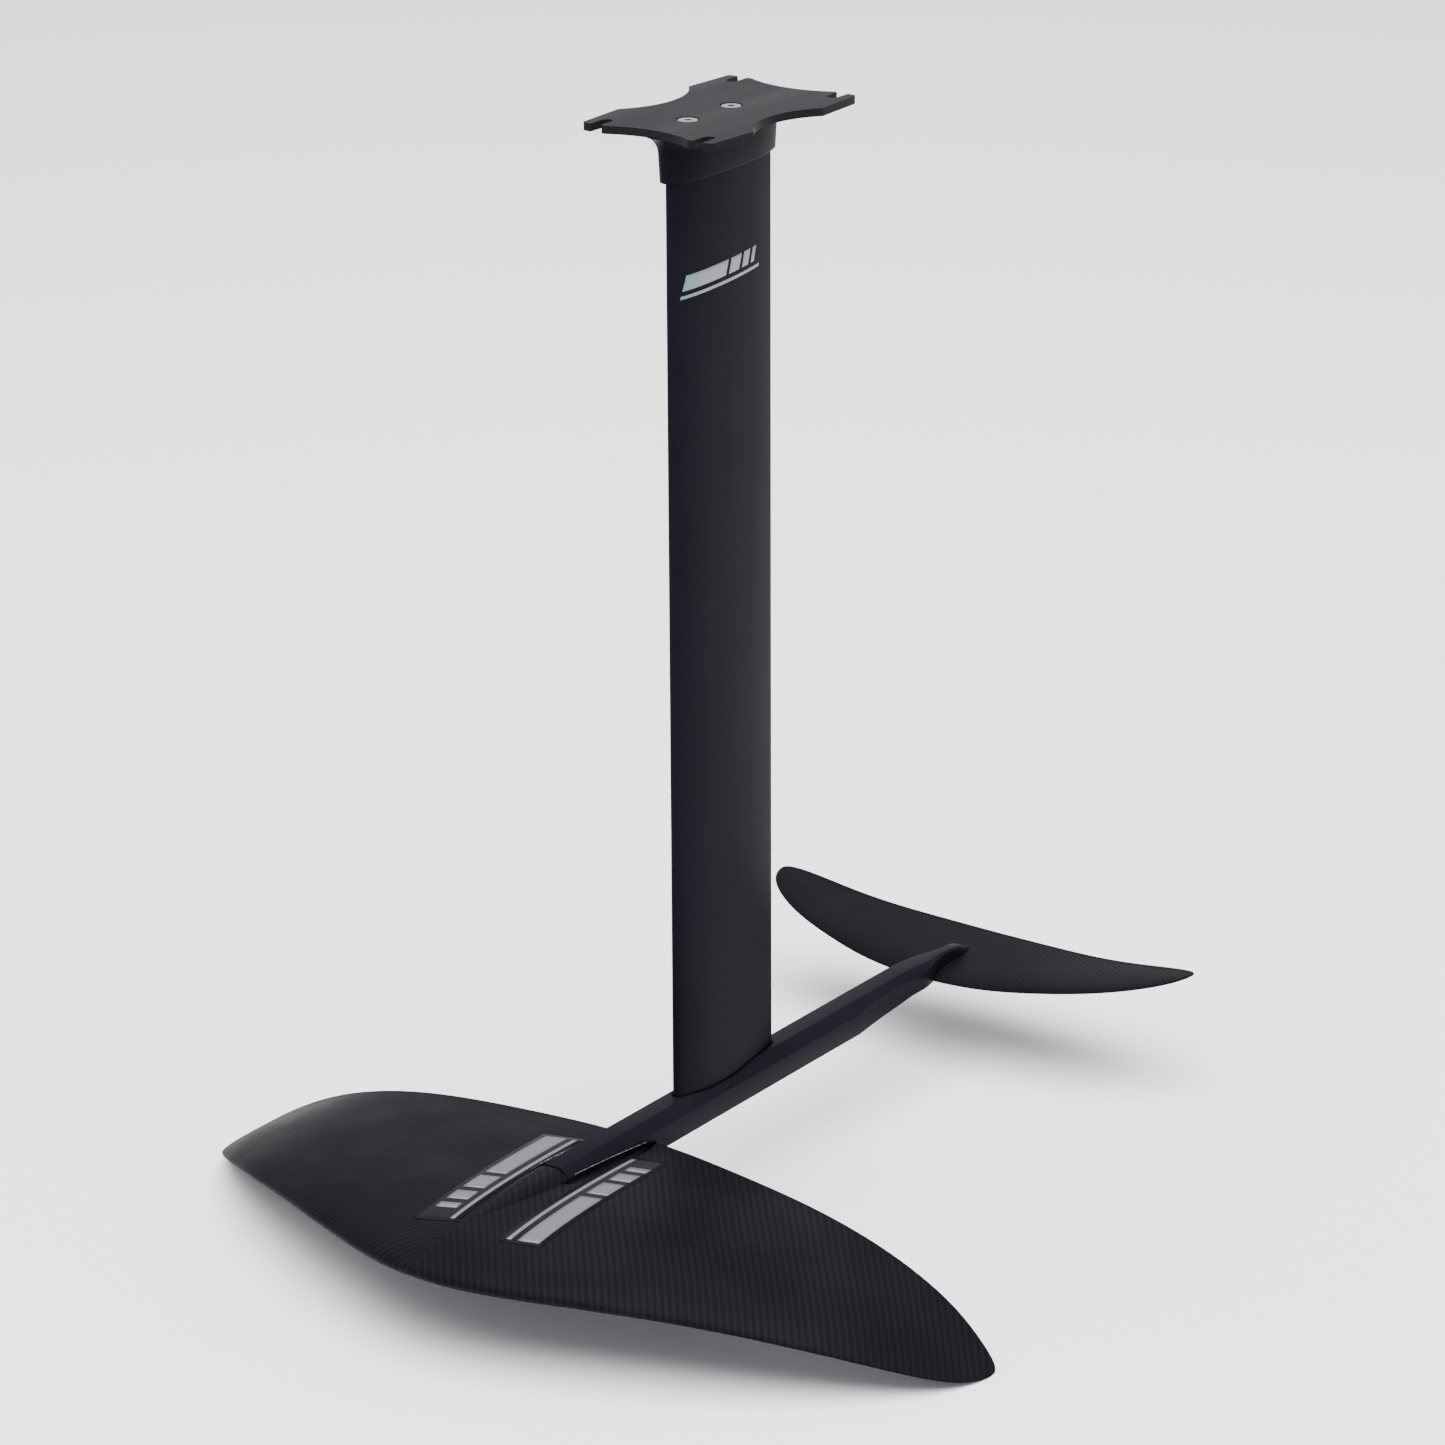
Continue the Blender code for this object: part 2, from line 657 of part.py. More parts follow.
def make_foot_seal():
    """Make the thin rubber ring that fills the joint around the mast's foot."""
    low = FUSELAGE_TOP_Z - POCKET_DEPTH + GAP
    high = FUSELAGE_TOP_Z + 2 * MM
    seal = tube("mast_foot_seal", mast_outline(GAP + SEAL_WALL), mast_outline(GAP), low, high,
                BLACK_RUBBER)
    rings = [fuselage_section(x, 0.5 * MM) for x in (MAST_NOSE_X + 9 * MM, MAST_TAIL_X - 9 * MM)]
    combine(seal, loft("seal_trim", rings, None), "INTERSECT")


def make_mast_bolts():
    """Make the two bolts that pull the mast down onto the fuselage."""
    bottom = FUSELAGE_TOP_Z - FUSELAGE_DEPTH
    for end, x in zip(("front", "rear"), SCREW_XS):
        screw_up(f"mast_bolt_{end}", x, M8, bottom + GAP, FUSELAGE_TOP_Z + 20 * MM)


def make_inserts():
    """Make the three threaded bushes in the fuselage tongue."""
    low = FUSELAGE_TOP_Z - TONGUE_DEPTH + GAP
    for end, x in zip(("front", "middle", "rear"), WING_BOLT_XS):
        outer = [(x + px, py) for px, py in circle(INSERT_OUTER / 2)]
        inner = [(x + px, py) for px, py in circle(M8 / 2 + GAP)]
        bush = tube(f"fuselage_insert_{end}", outer, inner, low, low + INSERT_LENGTH, STEEL)
        smooth(bush)


# ---------------------------------------------------------------- front wing

def skin_rings(foil, parts, us, side, skin):
    """Return the rings of a thin skin: its outer line, then its inner line back."""
    rings = []
    for part in parts:
        outer = foil.layer(part, us, side, 0.0)
        inner = foil.layer(part, us, side, skin)
        rings.append(outer + inner[::-1])
    return rings


def solid_rings(foil, parts, us):
    """Return the rings of a solid lifting surface."""
    rings = []
    for part in parts:
        rings.append(foil.layer(part, us, 1, 0.0) + foil.layer(part, us, -1, 0.0)[::-1])
    return rings


def core_rings(foil, parts):
    """Return the rings of the filling inside the skins, which stops short of the tail edge."""
    rings = []
    for part in parts:
        us = chord_fractions(WING_CHORD_POINTS)[1:8] + [1 - CORE_TAIL_GAP / foil.station(part)[1]]
        upper = foil.layer(part, us, 1, WING_SKIN + GAP)
        lower = foil.layer(part, us, -1, WING_SKIN + GAP)
        rings.append(upper + lower[::-1])
    return rings


def fairing_rise(x, y, foil):
    """Return how high the nose fairing stands over the wing at a point."""
    along = (x - FUSELAGE_NOSE_X) / (FAIRING_TIP_X - FUSELAGE_NOSE_X)
    along = min(1.0, max(0.0, along))
    across = min(1.0, abs(y) / fairing_half_width(along))
    crest = FUSELAGE_TOP_Z - GAP - foil.surface_z(FUSELAGE_NOSE_X, 0)
    return crest * (1 - along ** 1.4) ** 1.3 * (1 - across ** 3) ** 1.5


def fairing_half_width(along):
    """Return the fairing's half width at a fraction of its length."""
    return FAIRING_HALF_WIDTH * (1 - 0.85 * along ** 1.6)


def nose_fairing(foil):
    """Return a hidden mound that carries the fuselage's nose shape into the wing."""
    rows = 9
    cols = 8
    rings = []
    for row in range(rows + 1):
        along = row / rows
        x = FUSELAGE_NOSE_X + GAP + (FAIRING_TIP_X - FUSELAGE_NOSE_X) * along
        half = fairing_half_width(along)
        ys = [half * (1 - 2 * col / cols) for col in range(cols + 1)]
        top = [(x, y, foil.surface_z(x, y) - GAP + fairing_rise(x, y, foil) * 1.02) for y in ys]
        low = [(x, y, foil.surface_z(x, y) - 2.2 * GAP) for y in ys]
        rings.append(top + low[::-1])
    return loft("nose_fairing", rings, None, strip_caps=True)


def tongue_space(name, high):
    """Return a hidden box that clears the fuselage tongue out of the wing."""
    low = (TONGUE_START_X - 10 * MM, -FUSELAGE_HALF_WIDTH - GAP, FUSELAGE_TOP_Z - TONGUE_DEPTH - GAP)
    return box(name, low, (FUSELAGE_NOSE_X + GAP, FUSELAGE_HALF_WIDTH + GAP, high))


def wing_bolt_tools(foil, prefix):
    """Return the hidden tools for the three wing bolts."""
    tools = []
    for index, x in enumerate(WING_BOLT_XS):
        head_z = foil.surface_z(x, 0, -1) + 0.6 * MM
        tools.append(hole_up(f"{prefix}_{index}", x, M8, head_z, FUSELAGE_TOP_Z - 5 * MM,
                             head_z - 6 * MM))
    return tools


def make_wing_skins(foil):
    """Make the upper and lower carbon skins, which meet along the edges."""
    parts = wing_span()
    us = chord_fractions(WING_CHORD_POINTS)
    upper = loft("front_wing_upper_skin", skin_rings(foil, parts, us, 1, WING_SKIN),
                 BLACK_CARBON, strip_caps=True)
    combine(upper, nose_fairing(foil), "UNION")
    combine(upper, tongue_space("upper_skin_opening", FUSELAGE_TOP_Z + 5 * MM))
    smooth(upper)
    lower = loft("front_wing_lower_skin", skin_rings(foil, parts, us, -1, WING_SKIN),
                 BLACK_CARBON, strip_caps=True)
    for tool in wing_bolt_tools(foil, "lower_skin_hole"):
        combine(lower, tool)
    smooth(lower)


def between(first, second, part):
    """Return the ring a part of the way from one ring to another."""
    return [tuple((1 - part) * a + part * b for a, b in zip(p, q)) for p, q in zip(first, second)]


def make_wing_inside(foil):
    """Make the bolt block on the centre line and the foam core on each side of it."""
    for side, name in ((1, "port"), (-1, "starboard")):
        parts = [side * part for part in wing_span() if -0.01 < part < CORE_END]
        rings = core_rings(foil, parts)
        first_y = abs(parts[1]) * WING_HALF_SPAN
        start = between(rings[0], rings[1], (BLOCK_HALF_WIDTH + GAP) / first_y)
        loft(f"front_wing_core_{name}", [start] + rings[1:], FOAM, strip_caps=True)
    middle, beside = core_rings(foil, parts[:2])
    edge = between(middle, beside, BLOCK_HALF_WIDTH / first_y)
    block_rings = [[(x, -y, z) for x, y, z in edge], middle, edge]
    block = loft("front_wing_bolt_block", block_rings, GLASS_BLOCK, strip_caps=True)
    combine(block, tongue_space("block_recess", FUSELAGE_TOP_Z + 5 * MM))
    for tool in wing_bolt_tools(foil, "block_hole"):
        combine(block, tool)


def make_wing_bolts(foil):
    """Make the three bolts that clamp the front wing to the fuselage tongue."""
    for end, x in zip(("front", "middle", "rear"), WING_BOLT_XS):
        head_z = foil.surface_z(x, 0, -1) + 0.6 * MM
        screw_up(f"front_wing_bolt_{end}", x, M8, head_z, FUSELAGE_TOP_Z - 5.5 * MM)


# ---------------------------------------------------------------- stabilizer

def stab_seat_cutter():
    """Return a hidden tool with the stabilizer's top surface, for its seat in the tail."""
    foil = stab_foil()
    us = chord_fractions(12)
    rings = []
    for part in (-0.1, -0.05, 0.0, 0.05, 0.1):
        top = [(x + GAP * (1 - 2 * u), y, z + GAP)
               for u, (x, y, z) in zip(us, foil.layer(part, us, 1, 0.0))]
        low = [(x, y, STAB_ROOT_Z - 20 * MM) for x, y, _ in top]
        rings.append(top + low[::-1])
    return loft("stab_seat", rings, None, strip_caps=True)


def make_stabilizer():
    """Make the solid stabilizer and the two bolts that hold it under the tail."""
    foil = stab_foil()
    us = chord_fractions(12)
    parts = span_fractions(-87, 87, 25)
    stab = loft("stabilizer", solid_rings(foil, parts, us), BLACK_CARBON, strip_caps=True)
    tip_z = FUSELAGE_TOP_Z - TAIL_DROP - 3 * MM
    for index, (end, x) in enumerate(zip(("front", "rear"), STAB_BOLT_XS)):
        head_z = foil.surface_z(x, 0, -1) + 0.5 * MM
        combine(stab, hole_up(f"stab_hole_{index}", x, M6, head_z, tip_z, head_z - 4 * MM))
        screw_up(f"stabilizer_bolt_{end}", x, M6, head_z, tip_z)
    smooth(stab)


def main():
    """Build every piece of the foil."""
    clear_scene()
    make_top_plate()
    make_plate_screws()
    make_collar()
    make_mast()
    make_mast_ends()
    make_fuselage()
    make_foot_seal()
    make_mast_bolts()
    make_inserts()
    foil = wing_foil()
    make_wing_skins(foil)
    make_wing_inside(foil)
    make_wing_bolts(foil)
    make_stabilizer()


main()
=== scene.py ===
"""Looks for a board hydrofoil: top plate, mast, fuselage, front wing and stabilizer.

Every length is in metres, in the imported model's own frame: +X forward, +Y to port, +Z up, with the
origin between the board-bolt slots on the top face of the top plate.
"""

import logging
import math
from dataclasses import dataclass, field
from enum import Enum
from typing import Callable, Sequence

import bmesh
import bpy
from mathutils import Matrix, Vector


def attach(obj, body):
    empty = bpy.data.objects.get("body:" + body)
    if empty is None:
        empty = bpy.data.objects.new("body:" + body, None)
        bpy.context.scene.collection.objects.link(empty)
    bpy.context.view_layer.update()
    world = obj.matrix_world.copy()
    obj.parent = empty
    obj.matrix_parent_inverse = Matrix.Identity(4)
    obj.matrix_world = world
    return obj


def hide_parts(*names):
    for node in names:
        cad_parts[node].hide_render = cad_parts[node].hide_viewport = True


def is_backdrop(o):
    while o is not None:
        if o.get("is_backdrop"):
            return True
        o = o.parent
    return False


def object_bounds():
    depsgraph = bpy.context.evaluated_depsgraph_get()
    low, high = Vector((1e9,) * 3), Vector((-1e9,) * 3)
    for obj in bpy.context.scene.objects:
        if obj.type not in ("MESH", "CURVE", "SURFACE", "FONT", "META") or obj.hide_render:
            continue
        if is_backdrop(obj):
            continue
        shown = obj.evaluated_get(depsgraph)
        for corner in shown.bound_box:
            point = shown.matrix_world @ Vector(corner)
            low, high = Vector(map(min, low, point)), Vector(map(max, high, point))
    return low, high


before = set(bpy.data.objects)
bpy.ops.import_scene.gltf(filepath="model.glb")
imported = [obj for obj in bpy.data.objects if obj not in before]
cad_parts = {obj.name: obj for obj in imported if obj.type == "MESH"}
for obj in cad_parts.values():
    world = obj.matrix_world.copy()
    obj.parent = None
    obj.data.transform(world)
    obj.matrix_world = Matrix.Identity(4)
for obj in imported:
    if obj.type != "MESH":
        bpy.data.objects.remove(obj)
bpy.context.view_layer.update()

LOG = logging.getLogger("hydrofoil")
MM = 0.001
GAP = 0.3 * MM
FUSELAGE_TOP = -756 * MM
BODY = "root"

Point = tuple[float, float, float]
Tone = tuple[float, float, float]
Flat = tuple[float, float]
Place = Callable[[float, float, float], Point]


class Along(Enum):
    """The world axis that a metal's drawn lines run along, as a stretch for its pattern."""

    X = (0.035, 1.0, 1.0)
    Z = (1.0, 1.0, 0.02)


class Head(Enum):
    """Which way a countersunk screw's head faces."""

    UP = 1
    DOWN = -1


class Side(Enum):
    """A side of the foil, as the sign of y."""

    PORT = 1
    STARBOARD = -1


# ---------------------------------------------------------------- finishes

@dataclass(frozen=True)
class AnodisedFinish:
    """Black hard-anodised aluminium with faint drawn lines, soft patches and handling marks."""

    name: str
    tone: Tone
    patch_tone: Tone
    roughness: Flat
    specular: float
    along: Along
    line_depth: float = 0.25
    sheen_tone: Tone = (0.74, 0.68, 1.0)

    def material(self) -> bpy.types.Material:
        """Return the material of this finish."""
        return anodised_metal(self)


@dataclass(frozen=True)
class CarbonFinish:
    """Twill carbon laminate under a satin lacquer; the warp and weft tones are the weave and also
    painted sheen, standing for the tows' different reflection.
    """

    name: str
    tow: float
    warp_tone_and_sheen: Tone
    weft_tone_and_sheen: Tone
    roughness: Flat
    specular: float
    turn_deg: float = 0.0
    weave_depth: float = 0.18
    warp_dulling: float = 0.05
    sheen_tone: Tone = (0.90, 0.82, 1.0)

    def material(self) -> bpy.types.Material:
        """Return the material of this finish."""
        return carbon_twill(self)


@dataclass(frozen=True)
class PlainFinish:
    """A cast, moulded or machined material with one tone, light mottling and a fine grain; in the
    seam sealant the bright mottling is painted glints.
    """

    name: str
    tone: Tone
    fleck_and_glint_tone: Tone
    roughness: Flat
    metallic: float
    specular: float
    grain_scale: float
    grain_depth: float

    def material(self) -> bpy.types.Material:
        """Return the material of this finish."""
        return plain_grain(self)


@dataclass(frozen=True)
class TransferFinish:
    """A thin silver transfer whose colour shifts a little along its length; the tints at its ends
    are painted sheen, standing for the foil's iridescence.
    """

    name: str
    near_sheen_tone: Tone
    main_tone: Tone
    far_sheen_tone: Tone
    x_near: float
    x_far: float

    def material(self) -> bpy.types.Material:
        """Return the material of this finish."""
        return silver_transfer(self)


STAINLESS = PlainFinish(
    "stainless", tone=(0.27, 0.26, 0.28), fleck_and_glint_tone=(0.36, 0.35, 0.37), roughness=(0.28, 0.40),
    metallic=1.0, specular=0.5, grain_scale=900.0, grain_depth=0.05)
ANODISED_PLATE = AnodisedFinish(
    "anodised_plate", tone=(0.0076, 0.0064, 0.0073), patch_tone=(0.0108, 0.0090, 0.0104),
    roughness=(0.42, 0.54), specular=0.045, along=Along.X)
ANODISED_COLLAR = AnodisedFinish(
    "anodised_collar", tone=(0.0046, 0.0039, 0.0054), patch_tone=(0.0062, 0.0052, 0.0072),
    roughness=(0.36, 0.48), specular=0.020, along=Along.Z, line_depth=0.15)
ANODISED_STRUT = AnodisedFinish(
    "anodised_strut", tone=(0.0054, 0.0046, 0.0070), patch_tone=(0.0072, 0.0060, 0.0094),
    roughness=(0.34, 0.46), specular=0.022, along=Along.Z, line_depth=0.2)
ANODISED_BAR = AnodisedFinish(
    "anodised_bar", tone=(0.0056, 0.0047, 0.0070), patch_tone=(0.0074, 0.0062, 0.0093),
    roughness=(0.34, 0.46), specular=0.026, along=Along.X, line_depth=0.2)
# Partly painted sheen: besides the weave itself, the warp and weft tones differ to stand for the way
# tows lying different ways reflect light.
WING_CARBON = CarbonFinish(
    "wing_carbon", tow=1.87 * MM, warp_tone_and_sheen=(0.0045, 0.0038, 0.0051),
    weft_tone_and_sheen=(0.0068, 0.0058, 0.0078), roughness=(0.41, 0.50), specular=0.024, turn_deg=5.0)
TAIL_CARBON = CarbonFinish(
    "tail_carbon", tow=1.6 * MM, warp_tone_and_sheen=(0.0049, 0.0041, 0.0057),
    weft_tone_and_sheen=(0.0062, 0.0053, 0.0072), roughness=(0.32, 0.40), specular=0.010, turn_deg=-6.0)
# Partly painted shade: a real resin fillet, made near-black and almost unreflecting so that it also
# stands for the shade in the crease where the wing meets the fuselage's side.
BLACK_RESIN_PAINTED_SHADE = PlainFinish(
    "black_resin_painted_shade", tone=(0.0010, 0.0009, 0.0012), fleck_and_glint_tone=(0.0016, 0.0015, 0.0020),
    roughness=(0.12, 0.24), metallic=0.0, specular=0.008, grain_scale=260.0, grain_depth=0.25)
# Painted glints: the bright fleck tone scatters light grey spots over the black sealant bead,
# standing for the dotted highlights along the seam.
SEAM_SEALANT_PAINTED_GLINTS = PlainFinish(
    "seam_sealant_painted_glints", tone=(0.003, 0.003, 0.004), fleck_and_glint_tone=(0.34, 0.33, 0.35),
    roughness=(0.15, 0.3), metallic=0.0, specular=0.4, grain_scale=2600.0, grain_depth=0.3)
BLACK_RUBBER = PlainFinish(
    "black_rubber", tone=(0.0014, 0.0014, 0.0016), fleck_and_glint_tone=(0.0022, 0.0022, 0.0026),
    roughness=(0.6, 0.8), metallic=0.0, specular=0.02, grain_scale=900.0, grain_depth=0.2)
CORE_FOAM = PlainFinish(
    "core_foam", tone=(0.62, 0.56, 0.42), fleck_and_glint_tone=(0.74, 0.68, 0.52), roughness=(0.8, 0.95),
    metallic=0.0, specular=0.3, grain_scale=700.0, grain_depth=0.6)
GLASS_LAMINATE = PlainFinish(
    "glass_laminate", tone=(0.24, 0.28, 0.16), fleck_and_glint_tone=(0.36, 0.40, 0.26),
    roughness=(0.45, 0.6), metallic=0.0, specular=0.4, grain_scale=500.0, grain_depth=0.3)
MACHINED_ALUMINIUM = PlainFinish(
    "machined_aluminium", tone=(0.62, 0.63, 0.65), fleck_and_glint_tone=(0.74, 0.75, 0.77),
    roughness=(0.32, 0.45), metallic=1.0, specular=0.5, grain_scale=800.0, grain_depth=0.1)
CLEAR_FILM = PlainFinish(
    "clear_film", tone=(0.0058, 0.0051, 0.0064), fleck_and_glint_tone=(0.0074, 0.0065, 0.0080),
    roughness=(0.26, 0.36), metallic=0.0, specular=0.035, grain_scale=300.0, grain_depth=0.05)
# Painted sheen: the violet near end and the teal far end stand for the iridescent sheen of the
# silver foil; the main tone is the print's own silver.
MAST_SILVER = TransferFinish(
    "mast_silver", near_sheen_tone=(0.24, 0.20, 0.26), main_tone=(0.22, 0.20, 0.23),
    far_sheen_tone=(0.11, 0.21, 0.20), x_near=-50 * MM, x_far=60 * MM)
WING_SILVER = TransferFinish(
    "wing_silver", near_sheen_tone=(0.13, 0.12, 0.135), main_tone=(0.125, 0.115, 0.128),
    far_sheen_tone=(0.135, 0.12, 0.135), x_near=140 * MM, x_far=330 * MM)


# ---------------------------------------------------------------- materials

def blank_material(name: str) -> bpy.types.Material:
    """Return a new material whose node tree is empty.

    Args:
        name: The name of the material.

    Returns:
        The new material.
    """
    material = bpy.data.materials.new(name)
    material.use_nodes = True
    material.node_tree.nodes.clear()
    return material


def arrange(groups: Sequence[tuple[bpy.types.Node | None,
                                   Sequence[tuple[bpy.types.Node, int, int]]]]) -> None:
    """Put nodes in their frames and in their places in the editor.

    Args:
        groups: Each frame, or None for the open sheet, with its nodes and where they stand.
    """
    for group, members in groups:
        for node, x, y in members:
            node.parent = group
            node.location = (x, y)


def anodised_metal(finish: AnodisedFinish) -> bpy.types.Material:
    """Build the node tree of an anodised extrusion or plate.

    Args:
        finish: The tones, roughness range and line direction of the metal.

    Returns:
        The new material.
    """
    material = blank_material(finish.name)
    new, link = material.node_tree.nodes.new, material.node_tree.links.new

    place = new("NodeFrame")
    place.label = "Where on the metal"
    tone = new("NodeFrame")
    tone.label = "Dye patches and dust"
    gloss = new("NodeFrame")
    gloss.label = "Sheen"
    relief = new("NodeFrame")
    relief.label = "Drawn lines and etch"

    coords = new("ShaderNodeTexCoord")
    coords.label = "Position on the part"

    stretch = new("ShaderNodeMapping")
    stretch.label = "Stretch along the drawn lines"
    stretch.inputs["Scale"].default_value = finish.along.value
    link(coords.outputs["Object"], stretch.inputs["Vector"])

    patches = new("ShaderNodeTexNoise")
    patches.label = "Uneven dye"
    patches.inputs["Scale"].default_value = 9.0
    patches.inputs["Detail"].default_value = 5.0
    patches.inputs["Roughness"].default_value = 0.62
    link(coords.outputs["Object"], patches.inputs["Vector"])

    dye = new("ShaderNodeValToRGB")
    dye.label = "Dye tone"
    dye.color_ramp.elements[0].position = 0.32
    dye.color_ramp.elements[0].color = (*finish.tone, 1.0)
    dye.color_ramp.elements[1].position = 0.70
    dye.color_ramp.elements[1].color = (*finish.patch_tone, 1.0)
    link(patches.outputs["Fac"], dye.inputs["Fac"])

    specks = new("ShaderNodeTexVoronoi")
    specks.label = "Dust specks"
    specks.inputs["Scale"].default_value = 210.0
    link(coords.outputs["Object"], specks.inputs["Vector"])

    speck_size = new("ShaderNodeMapRange")
    speck_size.label = "Speck size"
    speck_size.inputs["From Min"].default_value = 0.02
    speck_size.inputs["From Max"].default_value = 0.07
    speck_size.inputs["To Min"].default_value = 0.30
    speck_size.inputs["To Max"].default_value = 0.0
    link(specks.outputs["Distance"], speck_size.inputs["Value"])

    speck_spread = new("ShaderNodeMath")
    speck_spread.label = "Only where dust gathers"
    speck_spread.operation = "MULTIPLY"
    link(speck_size.outputs["Result"], speck_spread.inputs[0])
    link(patches.outputs["Fac"], speck_spread.inputs[1])

    surface = new("ShaderNodeMix")
    surface.label = "Dye with dust"
    surface.data_type = "RGBA"
    surface.inputs["B"].default_value = (0.22, 0.21, 0.22, 1.0)
    link(speck_spread.outputs["Value"], surface.inputs["Factor"])
    link(dye.outputs["Color"], surface.inputs["A"])

    smears = new("ShaderNodeTexNoise")
    smears.label = "Wiped smears"
    smears.inputs["Scale"].default_value = 26.0
    smears.inputs["Detail"].default_value = 6.0
    smears.inputs["Distortion"].default_value = 0.4
    link(stretch.outputs["Vector"], smears.inputs["Vector"])

    sheen = new("ShaderNodeMapRange")
    sheen.label = "Roughness range"
    sheen.inputs["From Min"].default_value = 0.3
    sheen.inputs["From Max"].default_value = 0.7
    sheen.inputs["To Min"].default_value = finish.roughness[0]
    sheen.inputs["To Max"].default_value = finish.roughness[1]
    link(smears.outputs["Fac"], sheen.inputs["Value"])

    lines = new("ShaderNodeTexNoise")
    lines.label = "Drawn lines"
    lines.inputs["Scale"].default_value = 420.0
    lines.inputs["Detail"].default_value = 3.0
    link(stretch.outputs["Vector"], lines.inputs["Vector"])

    etch = new("ShaderNodeTexNoise")
    etch.label = "Etched grain"
    etch.inputs["Scale"].default_value = 1600.0
    etch.inputs["Detail"].default_value = 2.0
    link(coords.outputs["Object"], etch.inputs["Vector"])

    height = new("ShaderNodeMath")
    height.label = "Lines over grain"
    height.operation = "MULTIPLY_ADD"
    height.inputs[1].default_value = 0.6
    link(lines.outputs["Fac"], height.inputs[0])
    link(etch.outputs["Fac"], height.inputs[2])

    bump = new("ShaderNodeBump")
    bump.label = "Fine relief"
    bump.inputs["Strength"].default_value = finish.line_depth
    bump.inputs["Distance"].default_value = 0.00005
    link(height.outputs["Value"], bump.inputs["Height"])

    shader = new("ShaderNodeBsdfPrincipled")
    shader.label = "Anodised metal"
    shader.inputs["Metallic"].default_value = 0.0
    shader.inputs["Specular IOR Level"].default_value = finish.specular
    shader.inputs["Specular Tint"].default_value = (*finish.sheen_tone, 1.0)
    link(surface.outputs["Result"], shader.inputs["Base Color"])
    link(sheen.outputs["Result"], shader.inputs["Roughness"])
    link(bump.outputs["Normal"], shader.inputs["Normal"])

    output = new("ShaderNodeOutputMaterial")
    output.label = "Surface"
    link(shader.outputs["BSDF"], output.inputs["Surface"])
    arrange((
        (place, ((coords, -1500, 0), (stretch, -1300, -200))),
        (tone, ((patches, -1000, 300), (dye, -780, 300), (specks, -1000, 60),
                (speck_size, -780, 60), (speck_spread, -600, 60), (surface, -420, 220))),
        (gloss, ((smears, -1000, -200), (sheen, -780, -200))),
        (relief, ((lines, -1000, -460), (etch, -1000, -680), (height, -780, -520),
                  (bump, -600, -480))),
        (None, ((shader, -160, 100), (output, 160, 100)))))
    return material


